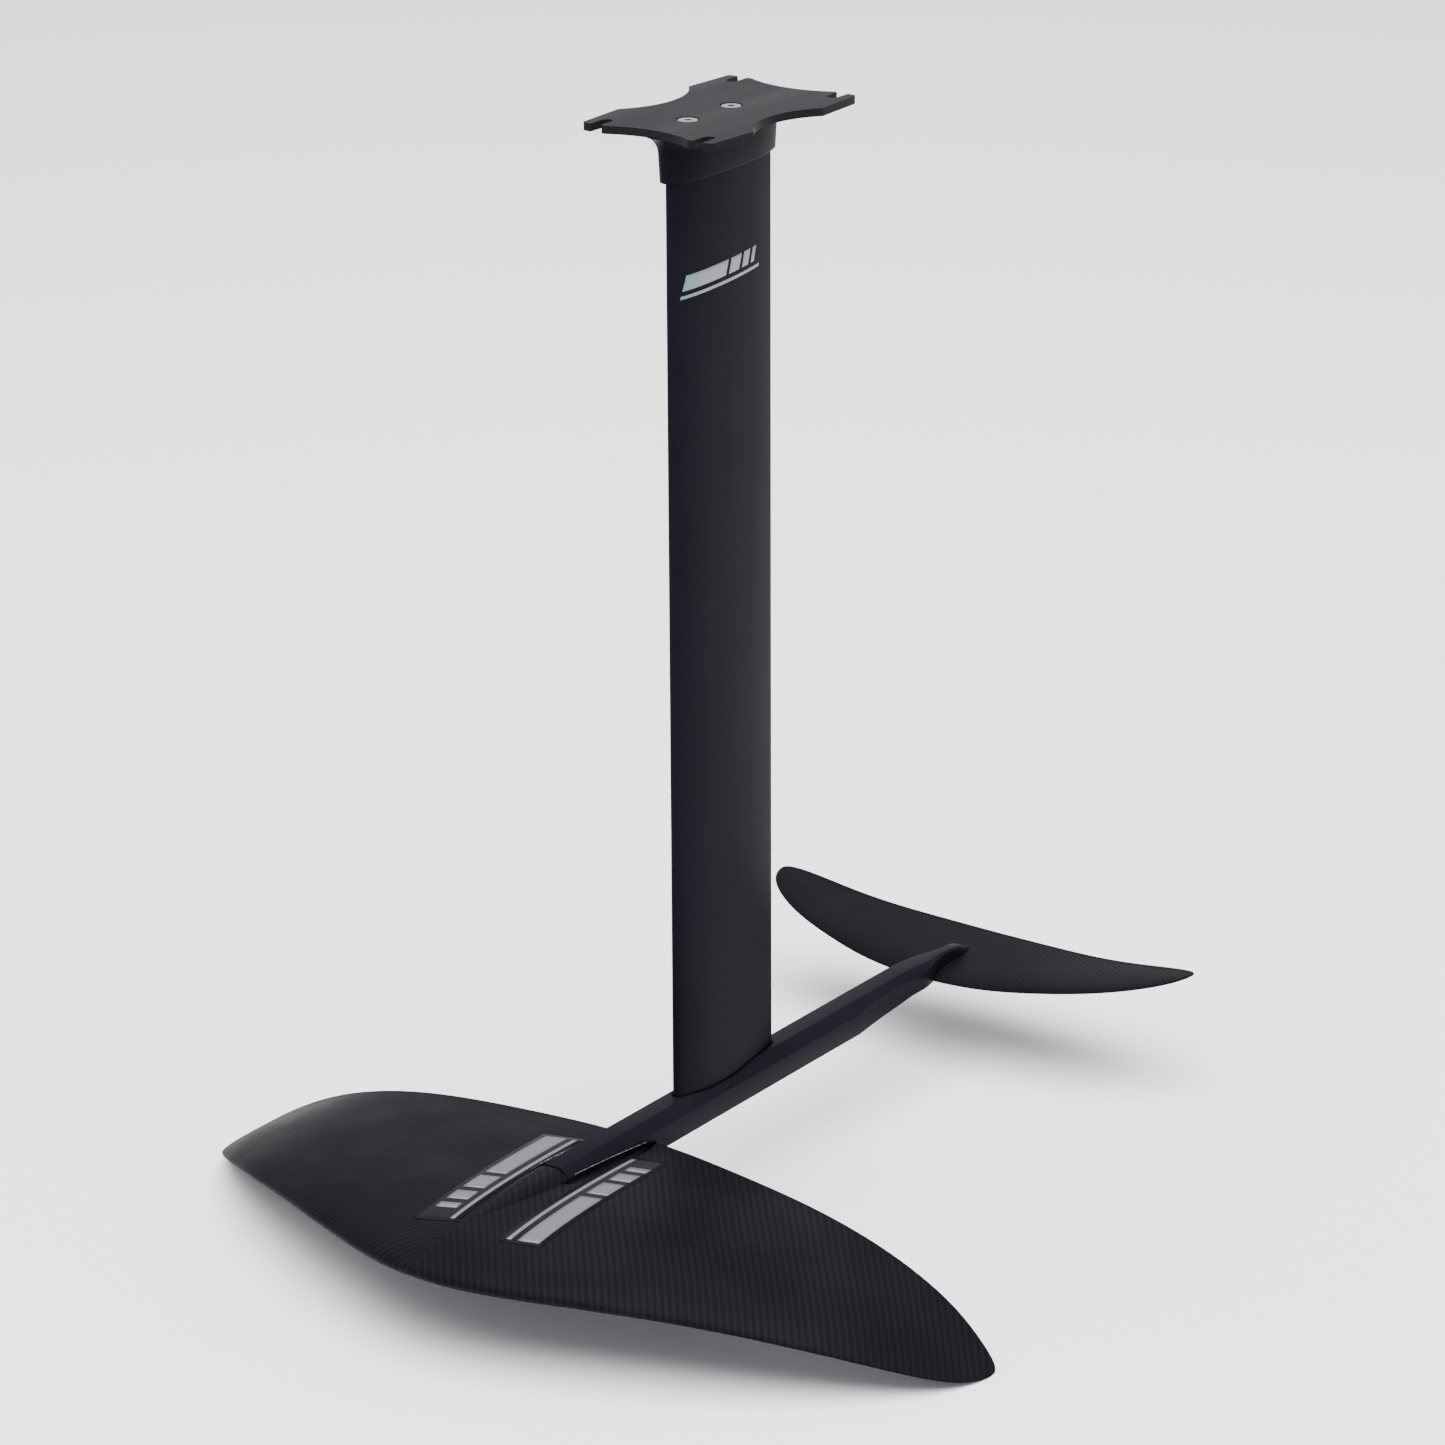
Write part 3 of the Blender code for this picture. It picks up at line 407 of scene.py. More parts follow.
def carbon_twill(finish: CarbonFinish) -> bpy.types.Material:
    """Build the node tree of a two-by-two twill laminate.

    Args:
        finish: The tow width, tones and lacquer of the laminate.

    Returns:
        The new material.
    """
    material = blank_material(finish.name)
    new, link = material.node_tree.nodes.new, material.node_tree.links.new

    cloth = new("NodeFrame")
    cloth.label = "Cloth laid flat over the wing"
    weave = new("NodeFrame")
    weave.label = "Which tow lies on top"
    crown = new("NodeFrame")
    crown.label = "Rounded tows"
    tone = new("NodeFrame")
    tone.label = "Fibre tone"
    lacquer = new("NodeFrame")
    lacquer.label = "Lacquer"

    coords = new("ShaderNodeTexCoord")
    coords.label = "Position on the wing"

    drift = new("ShaderNodeTexNoise")
    drift.label = "Hand-laid drift"
    drift.inputs["Scale"].default_value = 5.0
    drift.inputs["Detail"].default_value = 1.0
    link(coords.outputs["Object"], drift.inputs["Vector"])

    drifted = new("ShaderNodeVectorMath")
    drifted.label = "Cloth with drift"
    drifted.operation = "MULTIPLY_ADD"
    drifted.inputs[1].default_value = (0.006, 0.006, 0.0)
    link(drift.outputs["Color"], drifted.inputs[0])
    link(coords.outputs["Object"], drifted.inputs[2])

    flat = new("ShaderNodeSeparateXYZ")
    flat.label = "Along and across the wing"
    link(drifted.outputs["Vector"], flat.inputs["Vector"])

    folded = new("ShaderNodeMath")
    folded.label = "Mirrored on the centre line"
    folded.operation = "ABSOLUTE"
    link(flat.outputs["Y"], folded.inputs[0])

    halves = new("ShaderNodeCombineXYZ")
    halves.label = "Port and starboard cloth"
    link(flat.outputs["X"], halves.inputs["X"])
    link(folded.outputs["Value"], halves.inputs["Y"])

    tows = new("ShaderNodeMapping")
    tows.label = "Count in tows"
    tows.inputs["Rotation"].default_value = (0.0, 0.0, math.radians(finish.turn_deg))
    tows.inputs["Scale"].default_value = (1 / finish.tow, 1 / finish.tow, 0.0)
    link(halves.outputs["Vector"], tows.inputs["Vector"])

    axes = new("ShaderNodeSeparateXYZ")
    axes.label = "Warp and weft"
    link(tows.outputs["Vector"], axes.inputs["Vector"])

    warp_row = new("ShaderNodeMath")
    warp_row.label = "Warp tow number"
    warp_row.operation = "FLOOR"
    link(axes.outputs["X"], warp_row.inputs[0])

    weft_row = new("ShaderNodeMath")
    weft_row.label = "Weft tow number"
    weft_row.operation = "FLOOR"
    link(axes.outputs["Y"], weft_row.inputs[0])

    step = new("ShaderNodeMath")
    step.label = "Twill step"
    step.operation = "SUBTRACT"
    link(warp_row.outputs["Value"], step.inputs[0])
    link(weft_row.outputs["Value"], step.inputs[1])

    repeat = new("ShaderNodeMath")
    repeat.label = "Repeat of four tows"
    repeat.operation = "FLOORED_MODULO"
    repeat.inputs[1].default_value = 4.0
    link(step.outputs["Value"], repeat.inputs[0])

    warp_on_top = new("ShaderNodeMath")
    warp_on_top.label = "Warp on top"
    warp_on_top.operation = "LESS_THAN"
    warp_on_top.inputs[1].default_value = 1.5
    link(repeat.outputs["Value"], warp_on_top.inputs[0])

    warp_across = new("ShaderNodeMath")
    warp_across.label = "Across the warp tow"
    warp_across.operation = "PINGPONG"
    warp_across.inputs[1].default_value = 0.5
    link(axes.outputs["X"], warp_across.inputs[0])

    weft_across = new("ShaderNodeMath")
    weft_across.label = "Across the weft tow"
    weft_across.operation = "PINGPONG"
    weft_across.inputs[1].default_value = 0.5
    link(axes.outputs["Y"], weft_across.inputs[0])

    top_tow = new("ShaderNodeMix")
    top_tow.label = "Height of the tow on top"
    top_tow.data_type = "FLOAT"
    link(warp_on_top.outputs["Value"], top_tow.inputs["Factor"])
    link(weft_across.outputs["Value"], top_tow.inputs["A"])
    link(warp_across.outputs["Value"], top_tow.inputs["B"])

    fibres = new("ShaderNodeTexNoise")
    fibres.label = "Fibre bundles"
    fibres.inputs["Scale"].default_value = 2.3
    fibres.inputs["Detail"].default_value = 4.0
    link(tows.outputs["Vector"], fibres.inputs["Vector"])

    cloudy = new("ShaderNodeTexNoise")
    cloudy.label = "Resin-rich areas"
    cloudy.inputs["Scale"].default_value = 14.0
    cloudy.inputs["Detail"].default_value = 4.0
    link(coords.outputs["Object"], cloudy.inputs["Vector"])

    # Painted sheen: warp and weft tows get different tones in place of their different reflection.
    fibre_tone_and_sheen = new("ShaderNodeMix")
    fibre_tone_and_sheen.label = "Warp and weft tone with painted sheen"
    fibre_tone_and_sheen.data_type = "RGBA"
    fibre_tone_and_sheen.inputs["A"].default_value = (*finish.weft_tone_and_sheen, 1.0)
    fibre_tone_and_sheen.inputs["B"].default_value = (*finish.warp_tone_and_sheen, 1.0)
    link(warp_on_top.outputs["Value"], fibre_tone_and_sheen.inputs["Factor"])

    bundle_shade = new("ShaderNodeMapRange")
    bundle_shade.label = "Bundle shade"
    bundle_shade.inputs["To Min"].default_value = 0.72
    bundle_shade.inputs["To Max"].default_value = 1.28
    link(fibres.outputs["Fac"], bundle_shade.inputs["Value"])

    cloud_shade = new("ShaderNodeMapRange")
    cloud_shade.label = "Resin shade"
    cloud_shade.inputs["From Min"].default_value = 0.3
    cloud_shade.inputs["From Max"].default_value = 0.7
    cloud_shade.inputs["To Min"].default_value = 0.8
    cloud_shade.inputs["To Max"].default_value = 1.2
    link(cloudy.outputs["Fac"], cloud_shade.inputs["Value"])

    shade = new("ShaderNodeMath")
    shade.label = "Both shades"
    shade.operation = "MULTIPLY"
    link(bundle_shade.outputs["Result"], shade.inputs[0])
    link(cloud_shade.outputs["Result"], shade.inputs[1])

    colour = new("ShaderNodeVectorMath")
    colour.label = "Shaded fibre"
    colour.operation = "SCALE"
    link(fibre_tone_and_sheen.outputs["Result"], colour.inputs[0])
    link(shade.outputs["Value"], colour.inputs["Scale"])

    smears = new("ShaderNodeTexNoise")
    smears.label = "Polishing haze"
    smears.inputs["Scale"].default_value = 20.0
    smears.inputs["Detail"].default_value = 6.0
    link(coords.outputs["Object"], smears.inputs["Vector"])

    gloss = new("ShaderNodeMapRange")
    gloss.label = "Roughness range"
    gloss.inputs["From Min"].default_value = 0.3
    gloss.inputs["From Max"].default_value = 0.7
    gloss.inputs["To Min"].default_value = finish.roughness[0]
    gloss.inputs["To Max"].default_value = finish.roughness[1]
    link(smears.outputs["Fac"], gloss.inputs["Value"])

    dulled = new("ShaderNodeMath")
    dulled.label = "Warp tows are a little duller"
    dulled.operation = "MULTIPLY_ADD"
    dulled.inputs[1].default_value = finish.warp_dulling
    link(warp_on_top.outputs["Value"], dulled.inputs[0])
    link(gloss.outputs["Result"], dulled.inputs[2])

    bump = new("ShaderNodeBump")
    bump.label = "Weave under the lacquer"
    bump.inputs["Strength"].default_value = finish.weave_depth
    bump.inputs["Distance"].default_value = 0.00018
    link(top_tow.outputs["Result"], bump.inputs["Height"])

    shader = new("ShaderNodeBsdfPrincipled")
    shader.label = "Carbon laminate"
    shader.inputs["Specular IOR Level"].default_value = finish.specular
    shader.inputs["Specular Tint"].default_value = (*finish.sheen_tone, 1.0)
    link(colour.outputs["Vector"], shader.inputs["Base Color"])
    link(dulled.outputs["Value"], shader.inputs["Roughness"])
    link(bump.outputs["Normal"], shader.inputs["Normal"])

    output = new("ShaderNodeOutputMaterial")
    output.label = "Surface"
    link(shader.outputs["BSDF"], output.inputs["Surface"])
    arrange((
        (cloth, ((coords, -2800, 0), (drift, -2800, -260), (drifted, -2600, -120),
                 (flat, -2400, -120), (folded, -2200, -220), (halves, -2000, -120),
                 (tows, -1800, -60), (axes, -1600, -60))),
        (weave, ((warp_row, -1400, 200), (weft_row, -1400, 60), (step, -1220, 140),
                 (repeat, -1040, 140), (warp_on_top, -860, 140))),
        (crown, ((warp_across, -1400, -160), (weft_across, -1400, -320), (top_tow, -860, -220))),
        (tone, ((fibres, -860, 420), (cloudy, -860, 660), (fibre_tone_and_sheen, -640, 300),
                (bundle_shade, -640, 500), (cloud_shade, -640, 720), (shade, -440, 600),
                (colour, -260, 360))),
        (lacquer, ((smears, -860, -460), (gloss, -640, -460), (dulled, -440, -380),
                   (bump, -440, -160))),
        (None, ((shader, 0, 100), (output, 300, 100)))))
    return material


def plain_grain(finish: PlainFinish) -> bpy.types.Material:
    """Build the node tree of a plain material with a fine grain.

    Args:
        finish: The tones, roughness range and grain of the material.

    Returns:
        The new material.
    """
    material = blank_material(finish.name)
    new, link = material.node_tree.nodes.new, material.node_tree.links.new

    tone = new("NodeFrame")
    tone.label = "Mottled tone"
    surface = new("NodeFrame")
    surface.label = "Grain and sheen"

    coords = new("ShaderNodeTexCoord")
    coords.label = "Position on the part"

    mottle = new("ShaderNodeTexNoise")
    mottle.label = "Mottling"
    mottle.inputs["Scale"].default_value = finish.grain_scale * 0.12
    mottle.inputs["Detail"].default_value = 5.0
    link(coords.outputs["Object"], mottle.inputs["Vector"])

    # For the seam sealant the fleck tone paints glints: bright spots standing for highlights, not
    # flecks in the material.
    tint = new("ShaderNodeValToRGB")
    tint.label = "Base tone, flecks and painted glints"
    tint.color_ramp.elements[0].position = 0.35
    tint.color_ramp.elements[0].color = (*finish.tone, 1.0)
    tint.color_ramp.elements[1].position = 0.72
    tint.color_ramp.elements[1].color = (*finish.fleck_and_glint_tone, 1.0)
    link(mottle.outputs["Fac"], tint.inputs["Fac"])

    grain = new("ShaderNodeTexNoise")
    grain.label = "Grain"
    grain.inputs["Scale"].default_value = finish.grain_scale
    grain.inputs["Detail"].default_value = 4.0
    link(coords.outputs["Object"], grain.inputs["Vector"])

    sheen = new("ShaderNodeMapRange")
    sheen.label = "Roughness range"
    sheen.inputs["From Min"].default_value = 0.3
    sheen.inputs["From Max"].default_value = 0.7
    sheen.inputs["To Min"].default_value = finish.roughness[0]
    sheen.inputs["To Max"].default_value = finish.roughness[1]
    link(mottle.outputs["Fac"], sheen.inputs["Value"])

    bump = new("ShaderNodeBump")
    bump.label = "Grain relief"
    bump.inputs["Strength"].default_value = finish.grain_depth
    bump.inputs["Distance"].default_value = 0.0001
    link(grain.outputs["Fac"], bump.inputs["Height"])

    shader = new("ShaderNodeBsdfPrincipled")
    shader.label = "Plain surface"
    shader.inputs["Metallic"].default_value = finish.metallic
    shader.inputs["Specular IOR Level"].default_value = finish.specular
    link(tint.outputs["Color"], shader.inputs["Base Color"])
    link(sheen.outputs["Result"], shader.inputs["Roughness"])
    link(bump.outputs["Normal"], shader.inputs["Normal"])

    output = new("ShaderNodeOutputMaterial")
    output.label = "Surface"
    link(shader.outputs["BSDF"], output.inputs["Surface"])
    arrange((
        (tone, ((mottle, -860, 220), (tint, -640, 220))),
        (surface, ((grain, -860, -160), (sheen, -640, -60), (bump, -640, -300))),
        (None, ((coords, -1100, 0), (shader, -260, 60), (output, 60, 60)))))
    return material


def silver_transfer(finish: TransferFinish) -> bpy.types.Material:
    """Build the node tree of a silver transfer whose colour shifts along x as painted iridescent
    sheen.

    Args:
        finish: The tones and the stretch of x over which they change.

    Returns:
        The new material.
    """
    material = blank_material(finish.name)
    new, link = material.node_tree.nodes.new, material.node_tree.links.new

    shift = new("NodeFrame")
    shift.label = "Painted sheen along the transfer"

    coords = new("ShaderNodeTexCoord")
    coords.label = "Position on the part"

    axes = new("ShaderNodeSeparateXYZ")
    axes.label = "Fore and aft"
    link(coords.outputs["Object"], axes.inputs["Vector"])

    along = new("ShaderNodeMapRange")
    along.label = "Along the transfer"
    along.inputs["From Min"].default_value = finish.x_near
    along.inputs["From Max"].default_value = finish.x_far
    link(axes.outputs["X"], along.inputs["Value"])

    # The near and far tints are painted iridescent sheen laid along x.
    tint = new("ShaderNodeValToRGB")
    tint.label = "Silver with painted sheen"
    tint.color_ramp.elements[0].position = 0.02
    tint.color_ramp.elements[0].color = (*finish.near_sheen_tone, 1.0)
    tint.color_ramp.elements[1].position = 0.22
    tint.color_ramp.elements[1].color = (*finish.main_tone, 1.0)
    hold = tint.color_ramp.elements.new(0.72)
    hold.color = (*finish.main_tone, 1.0)
    far = tint.color_ramp.elements.new(0.95)
    far.color = (*finish.far_sheen_tone, 1.0)
    link(along.outputs["Result"], tint.inputs["Fac"])

    flakes = new("ShaderNodeTexNoise")
    flakes.label = "Metal flakes"
    flakes.inputs["Scale"].default_value = 1500.0
    link(coords.outputs["Object"], flakes.inputs["Vector"])

    sheen = new("ShaderNodeMapRange")
    sheen.label = "Roughness range"
    sheen.inputs["To Min"].default_value = 0.38
    sheen.inputs["To Max"].default_value = 0.58
    link(flakes.outputs["Fac"], sheen.inputs["Value"])

    bump = new("ShaderNodeBump")
    bump.label = "Flake relief"
    bump.inputs["Strength"].default_value = 0.1
    bump.inputs["Distance"].default_value = 0.00005
    link(flakes.outputs["Fac"], bump.inputs["Height"])

    shader = new("ShaderNodeBsdfPrincipled")
    shader.label = "Silver transfer"
    shader.inputs["Metallic"].default_value = 0.35
    link(tint.outputs["Color"], shader.inputs["Base Color"])
    link(sheen.outputs["Result"], shader.inputs["Roughness"])
    link(bump.outputs["Normal"], shader.inputs["Normal"])

    output = new("ShaderNodeOutputMaterial")
    output.label = "Surface"
    link(shader.outputs["BSDF"], output.inputs["Surface"])
    arrange((
        (shift, ((axes, -900, 200), (along, -720, 200), (tint, -540, 200))),
        (None, ((coords, -1100, 100), (flakes, -720, -100), (sheen, -540, -100), (bump, -540, -360),
                (shader, -200, 60), (output, 100, 60)))))
    return material


# ---------------------------------------------------------------- mesh making

def mesh_object(name: str, points: Sequence[Point], faces: Sequence[Sequence[int]],
                material: bpy.types.Material | None) -> bpy.types.Object:
    """Make an object from points and faces, with its faces turned outward.

    Args:
        name: The piece's name.
        points: The corners, in metres.
        faces: The corner numbers of each face.
        material: The material, or None for a cutting tool.

    Returns:
        The new object, linked to the scene.
    """
    mesh = bpy.data.meshes.new(name)
    mesh.from_pydata([tuple(p) for p in points], [], [tuple(f) for f in faces])
    work = bmesh.new()
    work.from_mesh(mesh)
    bmesh.ops.recalc_face_normals(work, faces=work.faces)
    work.to_mesh(mesh)
    work.free()
    piece = bpy.data.objects.new(name, mesh)
    bpy.context.scene.collection.objects.link(piece)
    if material:
        mesh.materials.append(material)
    return piece


def cap_faces(start: int, count: int, strips: bool) -> list[tuple[int, ...]]:
    """Return the faces that close a ring.

    Args:
        start: The number of the ring's first point.
        count: The points of the ring.
        strips: Close it with strips across the ring instead of one face.

    Returns:
        The corner numbers of each face.
    """
    if not strips:
        return [tuple(range(start, start + count))]
    last = start + count - 1
    half = count // 2
    faces: list[tuple[int, ...]] = [(start + i, start + i + 1, last - 1 - i, last - i)
                                    for i in range(half - 1)]
    if count % 2:
        faces.append((start + half - 1, start + half, start + half + 1))
    return faces


def loft(name: str, rings: Sequence[Sequence[Point]], material: bpy.types.Material | None,
         strip_caps: bool = False, closed: bool = False) -> bpy.types.Object:
    """Skin a row of equal rings.

    Args:
        name: The piece's name.
        rings: The rings, each with the same number of points.
        material: The material, or None for a cutting tool.
        strip_caps: Close each end with strips across the ring instead of one face.
        closed: Join the last ring to the first instead of closing the ends.

    Returns:
        The new object.
    """
    count = len(rings[0])
    rows = len(rings)
    faces: list[tuple[int, ...]] = []
    for row in range(rows if closed else rows - 1):
        near, far = row * count, (row + 1) % rows * count
        for col in range(count):
            after = (col + 1) % count
            faces.append((near + col, near + after, far + after, far + col))
    if not closed:
        faces += cap_faces(0, count, strip_caps)
        faces += cap_faces((rows - 1) * count, count, strip_caps)
    return mesh_object(name, [point for ring in rings for point in ring], faces, material)


def grid_faces(first: int, cols: int, rows: int) -> list[tuple[int, ...]]:
    """Return the faces of a grid of points.

    Args:
        first: The number of the grid's first point.
        cols: The steps along a row.
        rows: The steps from row to row.

    Returns:
        Four corner numbers for each face.
    """
    starts = [first + row * (cols + 1) + col for row in range(rows) for col in range(cols)]
    return [(a, a + 1, a + cols + 2, a + cols + 1) for a in starts]


def prism(name: str, outline: Sequence[Flat], low: float, high: float,
          material: bpy.types.Material | None) -> bpy.types.Object:
    """Extrude an outline between two heights."""
    return loft(name, [[(x, y, z) for x, y in outline] for z in (low, high)], material)


def subdivide(piece: bpy.types.Object, levels: int) -> None:
    """Add a live Subdivision Surface with equal view and render levels.

    Args:
        piece: The piece to smooth.
        levels: How many times each face is split.
    """
    step = piece.modifiers.new("Smooth skin", "SUBSURF")
    step.levels = levels
    step.render_levels = levels


def round_edges(piece: bpy.types.Object, width: float, segments: int = 2,
                angle_deg: float = 32) -> None:
    """Add a live Bevel to the edges that are sharper than an angle.

    Args:
        piece: The piece whose edges are broken.
        width: How far each bevel reaches.
        segments: The facets of each bevel.
        angle_deg: The least angle of an edge that is bevelled.
    """
    step = piece.modifiers.new("Broken edges", "BEVEL")
    step.width = width
    step.segments = segments
    step.limit_method = "ANGLE"
    step.angle_limit = math.radians(angle_deg)
    step.harden_normals = False


def shade(piece: bpy.types.Object, angle_deg: float = 35) -> None:
    """Shade a piece smooth except at corners sharper than an angle."""
    piece.data.shade_smooth()
    piece.data.set_sharp_from_angle(angle=math.radians(angle_deg))


def apply_stack(piece: bpy.types.Object) -> None:
    """Replace a piece's mesh by the result of its modifiers.

    Args:
        piece: The piece to settle.
    """
    graph = bpy.context.evaluated_depsgraph_get()
    made = bpy.data.meshes.new_from_object(piece.evaluated_get(graph))
    piece.modifiers.clear()
    piece.data = made


def cut(piece: bpy.types.Object, tools: Sequence[bpy.types.Object]) -> None:
    """Cut tools out of a piece, apply the cuts, and remove the tools.

    Args:
        piece: The piece to cut.
        tools: Closed helper objects.
    """
    for tool in tools:
        step = piece.modifiers.new("Cut", "BOOLEAN")
        step.operation = "DIFFERENCE"
        step.solver = "EXACT"
        step.object = tool
    bpy.context.view_layer.update()
    apply_stack(piece)
    for tool in tools:
        bpy.data.objects.remove(tool, do_unlink=True)


def settle(piece: bpy.types.Object, slot: str, *nodes: str) -> bpy.types.Object:
    """Attach a finished piece to its body and hide the CAD nodes it stands for.

    Args:
        piece: The finished piece.
        slot: The record's material slot; not used.
        nodes: The CAD nodes that the piece replaces.

    Returns:
        The same piece.
    """
    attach(piece, BODY)
    if nodes:
        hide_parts(*nodes)
    return piece


def dress(node: str, material: bpy.types.Material) -> None:
    """Give a CAD node that stays in view its finished material.

    Args:
        node: The CAD node's name.
        material: Its material.
    """
    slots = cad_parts[node].data.materials
    slots.clear()
    slots.append(material)


def arc(centre: Flat, radius: float, start_deg: float, end_deg: float, steps: int) -> list[Flat]:
    """Return points along an arc, with both its ends."""
    turns = [math.radians(start_deg + (end_deg - start_deg) * i / steps) for i in range(steps + 1)]
    return [(centre[0] + radius * math.cos(t), centre[1] + radius * math.sin(t)) for t in turns]


def circle(radius: float, steps: int) -> list[Flat]:
    """Return the points of a circle about the origin."""
    return arc((0.0, 0.0), radius, 0, 360 * (1 - 1 / steps), steps - 1)


def level_spline(knots: Sequence[float], values: Sequence[float]) -> Callable[[float], float]:
    """Return a cubic spline through some values that is level at both ends.

    Args:
        knots: The rising stations.
        values: The value at each station.

    Returns:
        A function that gives the value at any station between the ends.
    """
    count = len(knots)
    steps = [knots[i + 1] - knots[i] for i in range(count - 1)]
    slopes = [(values[i + 1] - values[i]) / steps[i] for i in range(count - 1)]
    upper = [0.0] * count
    tangents = [0.0] * count
    for i in range(1, count - 1):
        pivot = 2 * (steps[i - 1] + steps[i]) - steps[i] * upper[i - 1]
        upper[i] = steps[i - 1] / pivot
        right = 3 * (steps[i] * slopes[i - 1] + steps[i - 1] * slopes[i])
        tangents[i] = (right - steps[i] * tangents[i - 1]) / pivot
    for i in range(count - 2, 0, -1):
        tangents[i] -= upper[i] * tangents[i + 1]

    def value_at(knot: float) -> float:
        """Return the spline's value at a station.

        Args:
            knot: The station.

        Returns:
            The value there.
        """
        i = 0
        while i < count - 2 and knot > knots[i + 1]:
            i += 1
        t = (knot - knots[i]) / steps[i]
        start = (1 + 2 * t) * (1 - t) ** 2 * values[i] + t * (1 - t) ** 2 * steps[i] * tangents[i]
        end = t * t * (3 - 2 * t) * values[i + 1] + t * t * (t - 1) * steps[i] * tangents[i + 1]
        return start + end

    return value_at


# ---------------------------------------------------------------- strut outlines

@dataclass
class StrutSection:
    """The symmetric section of the mast: a full nose and a long taper."""

    nose: float = 65 * MM
    tail: float = -61 * MM
    half: float = 9.5 * MM
    tail_half: float = 1.0 * MM
    widest: float = 0.41
    nose_power: float = 2.5
    nose_bend: float = 0.4545
    taper_power: float = 1.9

    def outline(self, grow: float = 0.0, side_grow: float | None = None, steps: int = 30,
                tail_power: float | None = None, tail_bend: float = 1.0,
                tail_half: float | None = None) -> list[Flat]:
        """Return the outline, grown by a margin.

        Args:
            grow: The margin at the nose and tail.
            side_grow: The margin at the sides, if it differs.
            steps: The points on each side.
            tail_power: How late the taper starts, if it differs.
            tail_bend: How full the taper is.
            tail_half: Half the width of the tail's blunt edge, if it differs.

        Returns:
            The outline's points, anticlockwise from the nose.
        """
        side_grow = grow if side_grow is None else side_grow
        power = self.taper_power if tail_power is None else tail_power
        end = self.tail_half + grow if tail_half is None else tail_half
        nose, tail, half = self.nose + grow, self.tail - grow, self.half + side_grow
        middle = nose - self.widest * (nose - tail)
        port = []
        for i in range(steps + 1):
            reach = math.cos(math.pi * i / steps)
            if reach >= 0:
                x = middle + (nose - middle) * reach
                y = half * (1 - reach ** self.nose_power) ** self.nose_bend
            else:
                x = middle + (middle - tail) * reach
                y = end + (half - end) * (1 - abs(reach) ** power) ** tail_bend
            port.append((x, y))
        port[0] = (nose, 0.0)
        return port + [(x, -y) for x, y in reversed(port[1:])]

    def side_y(self, x: float) -> float:
        """Return how far the port side stands from the middle plane at a station.

        Args:
            x: The station.

        Returns:
            The distance.
        """
        middle = self.nose - self.widest * (self.nose - self.tail)
        if x >= middle:
            reach = min(1.0, (x - middle) / (self.nose - middle))
            return self.half * (1 - reach ** self.nose_power) ** self.nose_bend
        reach = min(1.0, (middle - x) / (middle - self.tail))
        return self.tail_half + (self.half - self.tail_half) * (1 - reach ** self.taper_power)


# ---------------------------------------------------------------- fasteners

@dataclass
class CountersunkScrew:
    """A socket countersunk screw on the middle plane."""

    name: str
    x: float
    size: float
    head_z: float
    tip_z: float
    head: Head
    material: bpy.types.Material
    turn_deg: float = 0.0
    head_part: float = 0.92
    seat_part: float = 1.015
    socket_part: float = 0.31
    socket_depth_part: float = 0.34
    tip_chamfer: float = 0.6 * MM
    dome: float = 0.12 * MM
    steps: int = 48

    def build(self) -> bpy.types.Object:
        """Turn the screw, sink its socket and put it in its place.

        Returns:
            The finished screw.
        """
        radius = self.size / 2
        head_radius = self.head_part * self.size
        length = abs(self.head_z - self.tip_z)
        cone = head_radius - radius
        dome = self.dome
        profile = [(0.0, 0.0), (head_radius * 0.55, -0.1 * dome), (head_radius * 0.9, -0.6 * dome),
                   (head_radius - 0.05 * MM, -1.6 * dome), (head_radius, -3 * dome),
                   (radius, -cone - 3 * dome), (radius, -length + self.tip_chamfer),
                   (radius - self.tip_chamfer, -length), (0.0, -length)]
        edges = [(i, i + 1) for i in range(len(profile) - 1)]
        mesh = bpy.data.meshes.new(self.name)
        mesh.from_pydata([(r, 0.0, z) for r, z in profile], edges, [])
        piece = bpy.data.objects.new(self.name, mesh)
        bpy.context.scene.collection.objects.link(piece)
        turn = piece.modifiers.new("Turned", "SCREW")
        turn.steps = turn.render_steps = self.steps
        turn.use_merge_vertices = True
        turn.merge_threshold = 0.02 * MM
        bpy.context.view_layer.update()
        apply_stack(piece)
        corner = self.socket_part * self.size / math.cos(math.radians(30))
        cut(piece, [prism("socket_tool", circle(corner, 6), -self.socket_depth_part * self.size,
                          MM, None)])
        place = Matrix.Translation((self.x, 0.0, self.head_z))
        place @= Matrix.Rotation(math.radians(self.turn_deg), 4, "Z")
        if self.head is Head.DOWN:
            place @= Matrix.Rotation(math.pi, 4, "X")
        piece.data.transform(place)
        piece.data.materials.clear()
        piece.data.materials.append(self.material)
        round_edges(piece, 0.12 * MM, 2, 40)
        shade(piece, 40)
        return settle(piece, "stainless_screw", self.name)

    def seat_tool(self) -> bpy.types.Object:
        """Return a cutting tool for the screw's countersunk seat.

        Returns:
            The closed tool.
        """
        radius = self.size / 2 + GAP
        head_radius = self.seat_part * self.size + GAP
        above, beyond = 6 * MM, 4 * MM
        rings = []
        for r, depth in ((head_radius, -above), (head_radius, 0.0), (radius, head_radius - radius),
                         (radius, abs(self.head_z - self.tip_z) + beyond)):
            z = self.head_z - self.head.value * depth
            rings.append([(self.x + x, y, z) for x, y in circle(r, self.steps)])
        return loft("seat_tool", rings, None)


# ---------------------------------------------------------------- head of the mast

